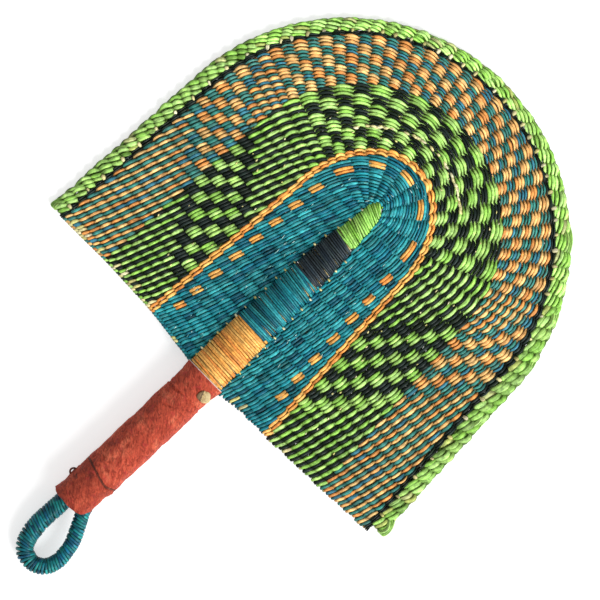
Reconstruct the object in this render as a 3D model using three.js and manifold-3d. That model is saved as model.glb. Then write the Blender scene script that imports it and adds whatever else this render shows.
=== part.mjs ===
// Woven grass hand fan: a round-topped blade of grass courses twined over thin ribs, a bound spine,
// a leather-covered grip with a cuff, and a bound hanging loop. Millimetres, +Z up, lying face up
// on its grip and on its rim. While it is built, the spine's axis is x = 0, the blade's foot is y = 0
// and the blade points along +Y.
import * as THREE from "three";
import Module from "manifold-3d";

const wasm = await Module();
wasm.setup();

// Clearance between pieces that touch on the real fan.
const FIT_GAP = 0.3;

// Spine: a bundle of stalks, widest at the blade's foot, with a rounded tip inside the blade.
const SPINE_FOOT_WIDTH = 28;
const SPINE_SHOULDER_WIDTH = 16;
const SPINE_SHOULDER_Y = 146;
const SPINE_TIP_LENGTH = 10.7;
const SPINE_FLATNESS = 0.7; // thickness over width
const HANDLE_STEP_LENGTH = 1; // over which the core narrows from the handle to the bound spine
const BINDING_THICKNESS = 1.2; // the strand that is wound round the spine, measured outwards
const BINDING_WIDTH = 1.1; // and along the spine
const TURNS_PER_BAY = 3; // turns between one rib and the next
const BINDING_RIB_CLEARANCE = 0.5;

// Ribs: stalks that cross the spine, and shorter ones that stand round its tip.
const RIB_DIAMETER = 2;
const CROSS_RIBS = 18;
const FIRST_RIB_Y = 1.5;
const LAST_CROSS_RIB_Y = 138.7;
const TIP_RIBS = 9;
const TIP_RIB_FIRST_ANGLE = 10; // degrees above the level of the spine's shoulder
const RIB_IN_RIM = 0.3; // share of the rim's width that a rib reaches into
const RIB_CLIMB = 5; // how much higher the first rib's ends lie than its middle; the last one is level

// Blade: its courses lie as U-shaped bands round the spine. The teal field is given by where it ends: the
// distance of its left and right foot from the spine's axis, half its cap's width, its crown's height over
// the cap's centre, and how far that centre lies above the spine's shoulder. Each band outside it is given
// by its width at the left and right foot, at the cap's sides and at the crown, and by how far its cap's
// centre lies above the one inside it and to the right of it.
const BLADE_THICKNESS = 4.5;
const FOOT_DIP = 2.6; // how far the blade's foot hangs below its first rib's line at the spine
const FOOT_RISE = { left: 7, right: 5 }; // how far the foot climbs from the spine to the rim
const TEAL_FIELD = { left: 52.8, right: 52.6, cap: 44.2, crown: 59.3, lift: -18 };
const ORANGE_RING = { footLeft: 4.6, footRight: 4.7, cap: 4.6, crown: 4.6, lift: 0, shift: 0 };
const GREEN_BLACK_BAND = { footLeft: 42.4, footRight: 47.7, cap: 45.7, crown: 30.6, lift: 6.9, shift: 1.3 };
const ORANGE_TEAL_BAND = { footLeft: 37.7, footRight: 37.7, cap: 37.7, crown: 37.7, lift: -7.9, shift: 0 };
const BLACK_RING = { footLeft: 2.9, footRight: 2.9, cap: 3.9, crown: 3.9, lift: -1.7, shift: 0.4 };
const RIM = { footLeft: 9.3, footRight: 9.3, cap: 9.9, crown: 9.9, lift: -1.3, shift: 0.3 };
const RIM_THICKNESS = 6.5;
const CAP_STEPS = 24;
const SPINE_EDGE_STEPS = 6;

// Grip: leather sewn round the lower end of the spine, with a flared top and a separate cuff.
const GRIP_WIDTH = 28.4;
const GRIP_THICKNESS = 25.2;
const GRIP_TOP_Y = -3;
const GRIP_LENGTH = 94.7;
const GRIP_TOP_FLARE = 1.3;
const GRIP_FLARE_LENGTH = 9;
const GRIP_LEAN = 2.2; // how far the lower end lies to the left of the spine's axis
const GRIP_FLAT_DEPTH = 0.5; // the underside is pressed flat where the leather's edges lap
const LEATHER_THICKNESS = 1.6;
const SLEEVE_STEPS = 24;
const CUFF_LENGTH = 25.4;
const CUFF_MOUTH_RISE = 5.5; // how much shorter the cuff is at both sides than in the middle
const CUFF_MOUTH_SLANT = 2; // and how much more so on the right
const CUFF_DEPTH_OVER_LOOP = 10.8; // how far the cuff covers the hanging loop's ends

// Thong round the neck between grip and cuff, its curled tail, and the stalk end that comes through the leather.
const THONG_DIAMETER = 1.6;
const THONG_CURL_RADIUS = 2.2;
const THONG_CURL_DROP = 7.5; // below the cuff's top
const PEG_DIAMETER = 8.6;
const PEG_X = 9.4;
const PEG_DROP = 9.7; // below the grip's top
const PEG_HEIGHT = 1.3; // above the leather
const PEG_DEPTH = 5; // below the leather's outside
const PEG_SLANT = 0.25;

// Hanging loop: a stalk core bent into a teardrop, wound with grass. Its route starts and ends inside the cuff:
// x from the spine's axis, y down from where its ends meet the handle's core, and the drop of its height.
const LOOP_DIAMETER = 11;
const LOOP_BINDING_THICKNESS = 1.3;
const LOOP_BINDING_SPACING = 1.05; // clear gap between turns along the core's middle
const LOOP_TURNS = 44;
const LOOP_BARE_END = 6.5;
const LOOP_SIDES = 6;
const LOOP_CORE_STEPS = 48;
const LOOP_ROUTE = [
  [-5.9, 0, 0],
  [-6.1, 5, 0.2],
  [-6.6, 13, 1.0],
  [-7.2, 22, 2.1],
  [-7.3, 31, 3.2],
  [-6.3, 40.2, 4.2],
  [-4.0, 46.9, 4.7],
  [0.3, 51.4, 5.0],
  [6.2, 53.1, 5.1],
  [12.3, 51.4, 4.9],
  [16.9, 46.9, 4.5],
  [18.9, 40.4, 3.9],
  [18.8, 33.5, 3.3],
  [17.2, 26.3, 2.5],
  [14.3, 19, 1.6],
  [10.8, 12.2, 0.9],
  [7.6, 6, 0.3],
  [5.8, 0, 0],
];

const COLOURS = {
  stalk: "#d9cf94",
  teal: "#13707a",
  orange: "#f39a45",
  green: "#8fcb3c",
  black: "#191b24",
  leather: "#b2442f",
  thong: "#7b4026",
  peg: "#c8a878",
};

// Sizes that follow from the ones above.
const axisHeight = GRIP_THICKNESS / 2 - GRIP_FLAT_DEPTH;
const ribPitch = (LAST_CROSS_RIB_Y - FIRST_RIB_Y) / (CROSS_RIBS - 1);
const gripBottomY = GRIP_TOP_Y - GRIP_LENGTH;
const thongY = gripBottomY - FIT_GAP - THONG_DIAMETER / 2;
const cuffTopY = thongY - THONG_DIAMETER / 2 - FIT_GAP;
const cuffBottomY = cuffTopY - CUFF_LENGTH;
const coreBottomY = cuffBottomY + CUFF_DEPTH_OVER_LOOP;
const octagonGap = FIT_GAP / Math.cos(Math.PI / 8);

// Closed body

// Builds one closed body from rings of points, each ring with as many points as the next. The first and last
// rings are closed by flat fans, or joined to each other where the row of rings is itself a ring.
function loft(rings, joined = false) {
  const count = rings[0].length;
  const positions = rings.flat(2);
  const index = [];
  const spans = joined ? rings.length : rings.length - 1;
  for (let i = 0; i < spans; i++) {
    const a = i * count;
    const b = ((i + 1) % rings.length) * count;
    for (let j = 0; j < count; j++) {
      const k = (j + 1) % count;
      index.push(a + j, a + k, b + k, a + j, b + k, b + j);
    }
  }
  if (!joined) {
    const last = (rings.length - 1) * count;
    for (let j = 1; j < count - 1; j++) {
      index.push(0, j + 1, j, last, last + j, last + j + 1);
    }
  }
  const geometry = new THREE.BufferGeometry();
  geometry.setAttribute("position", new THREE.Float32BufferAttribute(positions, 3));
  geometry.setIndex(volumeOf(positions, index) < 0 ? index.reverse() : index);
  return geometry;
}

// Six times the signed volume inside a triangle mesh: negative where its faces point inwards.
function volumeOf(positions, index) {
  const corner = (i) => new THREE.Vector3().fromArray(positions, 3 * i);
  let sum = 0;
  for (let i = 0; i < index.length; i += 3) {
    sum += corner(index[i]).dot(corner(index[i + 1]).cross(corner(index[i + 2])));
  }
  return sum;
}

function toSolid(geometry) {
  const vertProperties = new Float32Array(geometry.attributes.position.array);
  const triVerts = new Uint32Array(geometry.index.array);
  return new wasm.Manifold(new wasm.Mesh({ numProp: 3, vertProperties, triVerts }));
}

function toGeometry(solid) {
  const mesh = solid.getMesh();
  const geometry = new THREE.BufferGeometry();
  geometry.setAttribute("position", new THREE.BufferAttribute(mesh.vertProperties, 3));
  geometry.setIndex(new THREE.BufferAttribute(mesh.triVerts, 1));
  return geometry;
}

// Cuts every cutter out of a body.
function cut(geometry, cutters) {
  return toGeometry(cutters.reduce((solid, cutter) => solid.subtract(toSolid(cutter)), toSolid(geometry)));
}

const mix = (a, b, share) => a + (b - a) * share;
const range = (count) => Array.from({ length: count }, (_, i) => i);
const smooth = (share) => share * share * (3 - 2 * share);

// Outlines of the spine and of the bands

// Half of the spine's width over its binding: a slow taper, then half an ellipse.
function spineHalfWidth(y) {
  const foot = SPINE_FOOT_WIDTH / 2;
  const shoulder = SPINE_SHOULDER_WIDTH / 2;
  if (y <= SPINE_SHOULDER_Y) return foot - (foot - shoulder) * (Math.max(0, y) / SPINE_SHOULDER_Y) ** 2;
  const share = Math.min(1, (y - SPINE_SHOULDER_Y) / SPINE_TIP_LENGTH);
  return shoulder * Math.sqrt(1 - share * share);
}

// The edges between bands, from the spine outwards. Each has its feet's distances from the axis and its
// cap's centre, half width and height.
const spineEdge = {
  left: SPINE_FOOT_WIDTH / 2,
  right: SPINE_FOOT_WIDTH / 2,
  centreX: 0,
  centreY: SPINE_SHOULDER_Y,
  radius: SPINE_SHOULDER_WIDTH / 2,
  height: SPINE_TIP_LENGTH,
};
const tealEdge = {
  left: TEAL_FIELD.left,
  right: TEAL_FIELD.right,
  centreX: 0,
  centreY: SPINE_SHOULDER_Y + TEAL_FIELD.lift,
  radius: TEAL_FIELD.cap,
  height: TEAL_FIELD.crown,
};
function edgeOutside(inner, band) {
  return {
    left: inner.left + band.footLeft,
    right: inner.right + band.footRight,
    centreX: inner.centreX + band.shift,
    centreY: inner.centreY + band.lift,
    radius: inner.radius + band.cap,
    height: inner.height + band.crown,
  };
}
const bandSizes = [ORANGE_RING, GREEN_BLACK_BAND, ORANGE_TEAL_BAND, BLACK_RING, RIM];
const edges = bandSizes.reduce((list, band) => [...list, edgeOutside(list.at(-1), band)], [spineEdge, tealEdge]);

// An edge moved outwards by a distance, or inwards by a negative one.
function moved(edge, distance) {
  return {
    ...edge,
    left: edge.left + distance,
    right: edge.right + distance,
    radius: edge.radius + distance,
    height: edge.height + distance,
  };
}

function between(inner, outer, share) {
  const names = Object.keys(inner);
  return Object.fromEntries(names.map((name) => [name, mix(inner[name], outer[name], share)]));
}

const rimMiddle = between(edges[5], edges[6], 0.5);
const ribEndEdge = between(edges[5], edges[6], RIB_IN_RIM);
const rimTopReach = rimMiddle.centreY + rimMiddle.height - SPINE_SHOULDER_Y;

// How far out a point of the blade lies: 0 on the spine's axis and about 1 in the middle of the rim.
function reach(x, y) {
  const across = x / (x < 0 ? rimMiddle.left : rimMiddle.right);
  const along = Math.max(0, y - SPINE_SHOULDER_Y) / rimTopReach;
  return Math.hypot(across, along);
}

// Height of the blade's middle surface, which falls in straight lines from the spine's axis to the rim.
const bladeHeight = (x, y) => mix(axisHeight, RIM_THICKNESS / 2, reach(x, y));

const footY = (x) => (x < 0 ? FOOT_RISE.left : FOOT_RISE.right) * reach(x, 0) - FOOT_DIP;

// The points of an edge from its left foot over the cap to its right foot.
function outline(edge, legSteps, alongSpine = false) {
  const leg = (side) => {
    const foot = side < 0 ? -edge.left : edge.right;
    const shoulder = edge.centreX + side * edge.radius;
    return range(legSteps).map((i) => {
      const y = mix(footY(foot), edge.centreY, i / legSteps);
      const spread = edge.radius - SPINE_SHOULDER_WIDTH / 2;
      const x = alongSpine ? side * (spineHalfWidth(y) + spread) : mix(foot, shoulder, i / legSteps);
      return [x, y];
    });
  };
  const cap = range(CAP_STEPS + 1).map((i) => {
    const angle = Math.PI * (1 - i / CAP_STEPS);
    return [edge.centreX + edge.radius * Math.cos(angle), edge.centreY + edge.height * Math.sin(angle)];
  });
  return [...leg(-1), ...cap, ...leg(1).reverse()];
}

// Ribs

// A straight or bent stalk: a section of some sides, upright and square to the way it runs in plan.
function stalk(points, sideways, radius, sides, turn = 0) {
  return loft(
    points.map(([x, y, z]) =>
      range(sides).map((j) => {
        const angle = turn + (2 * Math.PI * j) / sides;
        const out = radius * Math.cos(angle);
        return [x + sideways[0] * out, y + sideways[1] * out, z + radius * Math.sin(angle)];
      }),
    ),
  );
}

// One rib and the square channel that it lies in, a little wider and longer than the rib.
function ribAlong(points, sideways) {
  const ends = [points[0], points.at(-1)].map((point) => new THREE.Vector3(...point));
  const nudge = ends[1].clone().sub(ends[0]).setLength(FIT_GAP);
  const longer = [
    ends[0].clone().sub(nudge).toArray(),
    ...points.slice(1, -1),
    ends[1].clone().add(nudge).toArray(),
  ];
  const halfSide = RIB_DIAMETER / 2 + FIT_GAP;
  return {
    rib: stalk(points, sideways, RIB_DIAMETER / 2, 6),
    channel: stalk(longer, sideways, halfSide * Math.SQRT2, 4, Math.PI / 4),
  };
}

// A rib that crosses the spine and falls to the rim on both sides.
function crossRib(number) {
  const y = FIRST_RIB_Y + number * ribPitch;
  const climb = RIB_CLIMB * (1 - number / (CROSS_RIBS - 1));
  const end = (side) => {
    const endY = y + climb;
    const edge = ribEndEdge;
    const foot = side < 0 ? -edge.left : edge.right;
    const shoulder = edge.centreX + side * edge.radius;
    const above = endY - edge.centreY;
    const x =
      above < 0
        ? mix(foot, shoulder, (endY - footY(foot)) / (edge.centreY - footY(foot)))
        : edge.centreX + side * edge.radius * Math.sqrt(1 - (above / edge.height) ** 2);
    return [x, endY, bladeHeight(x, y)];
  };
  return ribAlong([end(-1), [0, y, axisHeight], end(1)], [0, 1]);
}

// Distance from the middle of the spine's shoulder to an edge's cap, at an angle above level.
function capDistance(edge, angle) {
  const across = Math.cos(angle);
  const up = Math.sin(angle) * (edge.radius / edge.height);
  const offX = -edge.centreX;
  const offY = (SPINE_SHOULDER_Y - edge.centreY) * (edge.radius / edge.height);
  const a = across * across + up * up;
  const b = across * offX + up * offY;
  const c = offX * offX + offY * offY - edge.radius ** 2;
  return (Math.sqrt(b * b - a * c) - b) / a;
}

// A rib that stands out from the spine's shoulder like a spoke, from one edge into the rim.
function spokeRib(angle, innerEdge) {
  const direction = [Math.cos(angle), Math.sin(angle)];
  const ends = [capDistance(innerEdge, angle), capDistance(ribEndEdge, angle)].map((distance) => {
    const x = direction[0] * distance;
    const y = SPINE_SHOULDER_Y + direction[1] * distance;
    return [x, y, bladeHeight(x, y)];
  });
  return ribAlong(ends, [-direction[1], direction[0]]);
}

const spokeStep = (180 - 2 * TIP_RIB_FIRST_ANGLE) / (TIP_RIBS - 1);
const spokeAngle = (place) => THREE.MathUtils.degToRad(TIP_RIB_FIRST_ANGLE + place * spokeStep);
const crossRibs = range(CROSS_RIBS).map(crossRib);
const tipRibs = range(TIP_RIBS).map((i) => spokeRib(spokeAngle(i), moved(spineEdge, FIT_GAP)));
const insertedRibs = range(TIP_RIBS - 1).map((i) => spokeRib(spokeAngle(i + 0.5), moved(edges[2], FIT_GAP)));
const channels = [...crossRibs, ...tipRibs, ...insertedRibs].map(({ channel }) => channel);

// Bands and rim

// A body that fills the space between two edges. Its section is a list of [share of the width, height].
function bandBetween(innerPoints, outerPoints, section) {
  return loft(
    innerPoints.map(([x0, y0], i) => {
      const [x1, y1] = outerPoints[i];
      return section.map(([share, height]) => {
        const x = mix(x0, x1, share);
        const y = mix(y0, y1, share);
        return [x, y, height(x, y)];
      });
    }),
  );
}

const faceUp = (x, y) => bladeHeight(x, y) + BLADE_THICKNESS / 2;
const faceDown = (x, y) => bladeHeight(x, y) - BLADE_THICKNESS / 2;

function weftBand(place) {
  const alongSpine = place === 0;
  const legSteps = alongSpine ? SPINE_EDGE_STEPS : 1;
  const inner = outline(moved(edges[place], alongSpine ? FIT_GAP : FIT_GAP / 2), legSteps, alongSpine);
  const outer = outline(moved(edges[place + 1], -FIT_GAP / 2), legSteps);
  const section = [
    [0, faceDown],
    [1, faceDown],
    [1, faceUp],
    [0, faceUp],
  ];
  return cut(bandBetween(inner, outer, section), channels);
}

// The rim's section is rounded on top and has a flat underside that lies on the ground.
const RIM_SECTION = [
  [0.18, 0],
  [0.82, 0],
  [1, 0.3],
  [0.97, 0.66],
  [0.78, 0.94],
  [0.5, 1],
  [0.22, 0.95],
  [0, 0.78],
  [0, 0.22],
];
function rimBraid() {
  const inner = outline(moved(edges[5], FIT_GAP / 2), 1);
  const outer = outline(edges[6], 1);
  const section = RIM_SECTION.map(([share, height]) => [share, () => height * RIM_THICKNESS]);
  return cut(bandBetween(inner, outer, section), channels);
}

// Peg: the slant-cut end of a stalk, set in the spine's core and coming up through the leather.
const pegY = GRIP_TOP_Y - PEG_DROP;
const gripHalf = { width: GRIP_WIDTH / 2, height: GRIP_THICKNESS / 2 };
const gripMiddleX = (y) => (-GRIP_LEAN * Math.max(0, -y)) / -cuffBottomY;
const pegSurfaceZ =
  axisHeight + gripHalf.height * Math.sqrt(1 - ((PEG_X - gripMiddleX(pegY)) / gripHalf.width) ** 2);

function pegBody(clearance) {
  const radius = PEG_DIAMETER / 2 + clearance;
  const ring = (height, slant) =>
    range(10).map((j) => {
      const angle = (2 * Math.PI * j) / 10;
      const x = radius * Math.cos(angle);
      return [PEG_X + x, pegY + radius * Math.sin(angle), pegSurfaceZ + height - slant * x];
    });
  return loft([ring(-PEG_DEPTH - clearance, 0), ring(PEG_HEIGHT + clearance, PEG_SLANT)]);
}

// Spine core: an eight-sided bundle whose corners carry the binding's corners.
const octagon = range(8).map((i) => (Math.PI * i) / 4);
const coreInset = BINDING_THICKNESS + octagonGap;
const handleInset = LEATHER_THICKNESS + FIT_GAP;

function spineRing(y, halfWidth, halfHeight, middleX = 0) {
  return octagon.map((angle) => [
    middleX + halfWidth * Math.cos(angle),
    y,
    axisHeight + halfHeight * Math.sin(angle),
  ]);
}

function spineCore() {
  const handle = [coreBottomY, GRIP_TOP_Y].map((y) =>
    spineRing(y, gripHalf.width - handleInset, gripHalf.height - handleInset, gripMiddleX(y)),
  );
  const insetRing = (y) => {
    const halfWidth = spineHalfWidth(y) - coreInset;
    return spineRing(y, halfWidth, spineHalfWidth(y) * SPINE_FLATNESS - coreInset);
  };
  const taper = range(11).map((i) => insetRing(mix(GRIP_TOP_Y + HANDLE_STEP_LENGTH, SPINE_SHOULDER_Y, i / 10)));
  const tip = [0.35, 0.6, 0.78].map((share) => insetRing(SPINE_SHOULDER_Y + share * SPINE_TIP_LENGTH));
  const ribChannels = crossRibs.map(({ channel }) => channel);
  return cut(loft([...handle, ...taper, ...tip]), [...ribChannels, pegBody(FIT_GAP)]);
}

// Bindings

// Where the strand passes the spine's sides: evenly between two ribs, and then over the next rib in one half turn.
const passClearance = (RIB_DIAMETER + BINDING_WIDTH + BINDING_RIB_CLEARANCE * 2) / 2;
const passesPerBay = 2 * TURNS_PER_BAY;
const passStep = (ribPitch - 2 * passClearance) / (passesPerBay - 1);
const ribY = (number) => FIRST_RIB_Y + number * ribPitch;
function baysPasses(firstRib, lastRib) {
  return range(lastRib - firstRib).flatMap((bay) =>
    range(passesPerBay).map((i) => ribY(firstRib + bay) + passClearance + i * passStep),
  );
}

// One unbroken strand wound through its passes, with eight steps to a turn.
function binding(name, passes) {
  const steps = range(4 * (passes.length - 1) + 1);
  const places = steps.map((step) => {
    const pass = Math.min(Math.floor(step / 4), passes.length - 2);
    return mix(passes[pass], passes[pass + 1], smooth(step / 4 - pass));
  });
  const pointAt = (step, inset, y) => {
    const halfWidth = spineHalfWidth(y);
    const angle = (Math.PI * step) / 4;
    return [
      (halfWidth - inset) * Math.cos(angle),
      y,
      axisHeight + (halfWidth * SPINE_FLATNESS - inset) * Math.sin(angle),
    ];
  };
  const half = BINDING_WIDTH / 2;
  const rings = steps.map((step) => [
    pointAt(step, BINDING_THICKNESS, places[step] - half),
    pointAt(step, 0, places[step] - half),
    pointAt(step, 0, places[step] + half),
    pointAt(step, BINDING_THICKNESS, places[step] + half),
  ]);
  reportSelfGap(name, rings, 4);
  return loft(rings);
}

// Prints the least gap between a strand's rings that lie more than half a turn apart.
function reportSelfGap(name, rings, apart) {
  const lowEdges = rings.map((ring) => ring.slice(0, 2).map((point) => new THREE.Vector3(...point)));
  const highEdges = rings.map((ring) => ring.slice(2).map((point) => new THREE.Vector3(...point)).reverse());
  let least = Infinity;
  highEdges.forEach((high, i) => {
    lowEdges.slice(i + apart + 1).forEach((low) => {
      least = Math.min(least, high[0].distanceTo(low[0]), high[1].distanceTo(low[1]));
    });
  });
  console.log(`${name}: least gap between turns ${least.toFixed(2)} mm`);
}

// The spine's four bindings: the rib at which each starts and ends.
const ORANGE_BAYS = [0, 5];
const TEAL_BAYS = [5, 11];
const BLACK_BAYS = [11, 15];
const GREEN_BAYS = [15, CROSS_RIBS - 1];
const leadIn = [-passClearance - passStep, -passClearance].map((offset) => ribY(0) + offset);
const tipStartY = LAST_CROSS_RIB_Y + passClearance;
const tipPassCount = Math.floor((SPINE_SHOULDER_Y + SPINE_TIP_LENGTH / 2 - tipStartY) / passStep);
const tipPasses = range(tipPassCount).map((i) => tipStartY + i * passStep);

// Leather

// A sleeve of leather round the handle from one height to another; its lower edge may vary round the handle.
function sleeve(topY, bottomAt, outsideAt, levels) {
  return loft(
    range(SLEEVE_STEPS).map((i) => {
      const angle = (2 * Math.PI * i) / SLEEVE_STEPS;
      const bottomY = bottomAt(angle);
      const at = (share, inset) => {
        const y = mix(topY, bottomY, share);
        const grown = outsideAt(y) - inset;
        const x = gripMiddleX(y) + (gripHalf.width + grown) * Math.cos(angle);
        const z = axisHeight + (gripHalf.height + grown) * Math.sin(angle);
        return [x, y, Math.max(z, 0)];
      };
      return [...levels.map((share) => at(share, 0)), ...[1, 0].map((share) => at(share, LEATHER_THICKNESS))];
    }),
    true,
  );
}

function leatherGrip() {
  const flare = (y) => GRIP_TOP_FLARE * Math.max(0, 1 - (GRIP_TOP_Y - y) / GRIP_FLARE_LENGTH);
  const flareShare = GRIP_FLARE_LENGTH / GRIP_LENGTH;
  const body = sleeve(GRIP_TOP_Y, () => gripBottomY, flare, [0, flareShare, 1]);
  return cut(body, [pegBody(FIT_GAP)]);
}

function cuffMouthY(angle) {
  return cuffBottomY + CUFF_MOUTH_RISE * Math.cos(angle) ** 2 + CUFF_MOUTH_SLANT * Math.cos(angle);
}

const leatherCuff = () => sleeve(cuffTopY, cuffMouthY, () => 0, [0, 1]);

// Thong: a thin round cord tied in the groove between grip and cuff.
function neckThong() {
  const inset = LEATHER_THICKNESS - THONG_DIAMETER / 2;
  return loft(
    range(SLEEVE_STEPS).map((i) => {
      const angle = (2 * Math.PI * i) / SLEEVE_STEPS;
      return range(6).map((j) => {
        const around = (2 * Math.PI * j) / 6;
        const out = (THONG_DIAMETER / 2) * Math.cos(around) - inset;
        return [
          gripMiddleX(thongY) + (gripHalf.width + out) * Math.cos(angle),
          thongY + (THONG_DIAMETER / 2) * Math.sin(around),
          Math.max(axisHeight + (gripHalf.height + out) * Math.sin(angle), FIT_GAP),
        ];
      });
    }),
    true,
  );
}

// The thong's tail: a small arch on the cuff's left side.
function thongCurl() {
  const middleY = cuffTopY - THONG_CURL_DROP;
  const footX = gripMiddleX(middleY) - gripHalf.width - FIT_GAP;
  return loft(
    range(9).map((i) => {
      const angle = (Math.PI * i) / 8;
      return range(6).map((j) => {
        const around = (2 * Math.PI * j) / 6;
        const radius = THONG_CURL_RADIUS + (THONG_DIAMETER / 2) * Math.cos(around);
        return [
          footX - radius * Math.sin(angle),
          middleY + radius * Math.cos(angle),
          axisHeight + (THONG_DIAMETER / 2) * Math.sin(around),
        ];
      });
    }),
  );
}

// Hanging loop
const loopCurve = new THREE.CatmullRomCurve3(
  LOOP_ROUTE.map(([x, down, drop]) => new THREE.Vector3(x, coreBottomY - FIT_GAP - down, axisHeight - drop)),
  false,
  "centripetal",
);
const loopLength = loopCurve.getLength();
const loopCoreRadius = LOOP_DIAMETER / 2 - LOOP_BINDING_THICKNESS - FIT_GAP / Math.cos(Math.PI / LOOP_SIDES);

// A point beside the loop's middle line, at a distance along it, an angle round it and a radius from it.
function besideLoop(distance, angle, radius) {
  const share = THREE.MathUtils.clamp(distance / loopLength, 0, 1);
  const along = loopCurve.getTangentAt(share);
  const atEnd = share < 1e-6 || share > 1 - 1e-6;
  if (atEnd) along.set(0, Math.sign(along.y), 0);
  const across = new THREE.Vector3(0, 0, 1).cross(along).normalize();
  const up = along.clone().cross(across);
  return loopCurve
    .getPointAt(share)
    .addScaledVector(across, radius * Math.cos(angle))
    .addScaledVector(up, radius * Math.sin(angle))
    .toArray();
}

function loopCore() {
  return loft(
    range(LOOP_CORE_STEPS + 1).map((i) =>
      range(LOOP_SIDES).map((j) =>
        besideLoop((loopLength * i) / LOOP_CORE_STEPS, (2 * Math.PI * j) / LOOP_SIDES, loopCoreRadius),
      ),
    ),
  );
}

function loopBinding() {
  const pitch = (loopLength - 2 * LOOP_BARE_END) / LOOP_TURNS;
  const half = (pitch - LOOP_BINDING_SPACING) / 2;
  const rings = range(LOOP_TURNS * LOOP_SIDES + 1).map((i) => {
    const middle = LOOP_BARE_END + (pitch * i) / LOOP_SIDES;
    const angle = (2 * Math.PI * i) / LOOP_SIDES;
    const outside = LOOP_DIAMETER / 2;
    const inside = outside - LOOP_BINDING_THICKNESS;
    return [
      besideLoop(middle - half, angle, inside),
      besideLoop(middle - half, angle, outside),
      besideLoop(middle + half, angle, outside),
      besideLoop(middle + half, angle, inside),
    ];
  });
  reportSelfGap("hanging_loop_binding", rings, LOOP_SIDES / 2);
  return loft(rings);
}

// Assembly
const fan = new THREE.Group();
function add(name, geometry, colour, roughness = 0.75) {
  geometry.computeVertexNormals();
  const material = new THREE.MeshStandardMaterial({ color: COLOURS[colour], roughness, metalness: 0 });
  const mesh = new THREE.Mesh(geometry, material);
  mesh.name = name;
  fan.add(mesh);
}

add("spine_core", spineCore(), "stalk");
add("spine_binding_orange", binding("spine_binding_orange", [...leadIn, ...baysPasses(...ORANGE_BAYS)]), "orange");
add("spine_binding_teal", binding("spine_binding_teal", baysPasses(...TEAL_BAYS)), "teal");
add("spine_binding_black", binding("spine_binding_black", baysPasses(...BLACK_BAYS)), "black");
add("spine_binding_green", binding("spine_binding_green", [...baysPasses(...GREEN_BAYS), ...tipPasses]), "green");

add("leather_grip", leatherGrip(), "leather", 0.6);
add("leather_cuff", leatherCuff(), "leather", 0.6);
add("neck_thong", neckThong(), "thong");
add("thong_curl", thongCurl(), "thong");
add("stalk_peg", pegBody(0), "peg");
add("hanging_loop_core", loopCore(), "stalk");
add("hanging_loop_binding", loopBinding(), "teal");

add("weft_teal_field", weftBand(0), "teal");
add("weft_orange_ring", weftBand(1), "orange");
add("weft_green_black_band", weftBand(2), "green");
add("weft_orange_teal_band", weftBand(3), "orange");
add("weft_black_ring", weftBand(4), "black");
add("rim_braid", rimBraid(), "green");

const numbered = (name, i) => `${name}_${String(i + 1).padStart(2, "0")}`;
crossRibs.forEach(({ rib }, i) => add(numbered("cross_rib", i), rib, "stalk"));
tipRibs.forEach(({ rib }, i) => add(numbered("tip_rib", i), rib, "stalk"));
insertedRibs.forEach(({ rib }, i) => add(numbered("inserted_rib", i), rib, "stalk"));

// The part's own origin is the middle of its footprint, on the ground.
const box = new THREE.Box3().setFromObject(fan);
const middle = box.getCenter(new THREE.Vector3());
fan.position.set(-middle.x, -middle.y, -box.min.z);

export default fan;
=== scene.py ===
"""Woven grass hand fan with a bound spine, plaited rim, leather grip and hanging loop, lying face up."""

import bpy
import numpy as np
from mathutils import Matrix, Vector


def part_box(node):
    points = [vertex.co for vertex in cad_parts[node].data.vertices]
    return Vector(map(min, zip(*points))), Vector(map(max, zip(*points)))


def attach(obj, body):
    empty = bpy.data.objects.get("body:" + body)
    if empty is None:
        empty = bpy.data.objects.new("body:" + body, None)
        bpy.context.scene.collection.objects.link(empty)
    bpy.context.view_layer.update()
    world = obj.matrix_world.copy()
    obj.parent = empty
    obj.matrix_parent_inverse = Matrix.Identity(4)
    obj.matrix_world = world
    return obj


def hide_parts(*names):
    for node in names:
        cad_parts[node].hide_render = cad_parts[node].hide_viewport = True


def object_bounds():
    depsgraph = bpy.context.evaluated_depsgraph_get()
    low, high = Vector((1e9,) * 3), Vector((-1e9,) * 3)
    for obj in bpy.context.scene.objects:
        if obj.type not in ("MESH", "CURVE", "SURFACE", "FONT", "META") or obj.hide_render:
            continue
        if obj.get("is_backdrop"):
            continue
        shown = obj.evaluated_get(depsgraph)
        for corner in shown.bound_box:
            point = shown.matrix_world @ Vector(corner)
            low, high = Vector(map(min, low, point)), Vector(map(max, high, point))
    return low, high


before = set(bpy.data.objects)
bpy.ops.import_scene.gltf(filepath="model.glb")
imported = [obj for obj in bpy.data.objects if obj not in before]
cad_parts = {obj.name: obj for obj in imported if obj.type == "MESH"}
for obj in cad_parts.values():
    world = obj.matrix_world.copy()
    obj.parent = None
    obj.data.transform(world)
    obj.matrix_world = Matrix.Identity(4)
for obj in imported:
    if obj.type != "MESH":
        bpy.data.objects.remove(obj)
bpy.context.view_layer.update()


# Ribs
# Stiff stalks stick out of the spine on both sides and fan out round its tip. The grass is twined over and
# under them, and beyond the orange ring each opens into finer ribs so that they stay about 8 mm apart.

MM = 0.001
GRIP_TOP = -3.0  # mm along the spine, measured from the blade's foot
wound_low, wound_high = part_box("spine_binding_orange")
foot_of_blade = np.array([(wound_low.x + wound_high.x) / 2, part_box("leather_grip")[1].y - GRIP_TOP * MM, 0.0])


def place(points):
    """Points in millimetres from the spine's axis at the blade's foot, as metres in the part's frame."""
    return np.asarray(points, float) * MM + foot_of_blade


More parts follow.
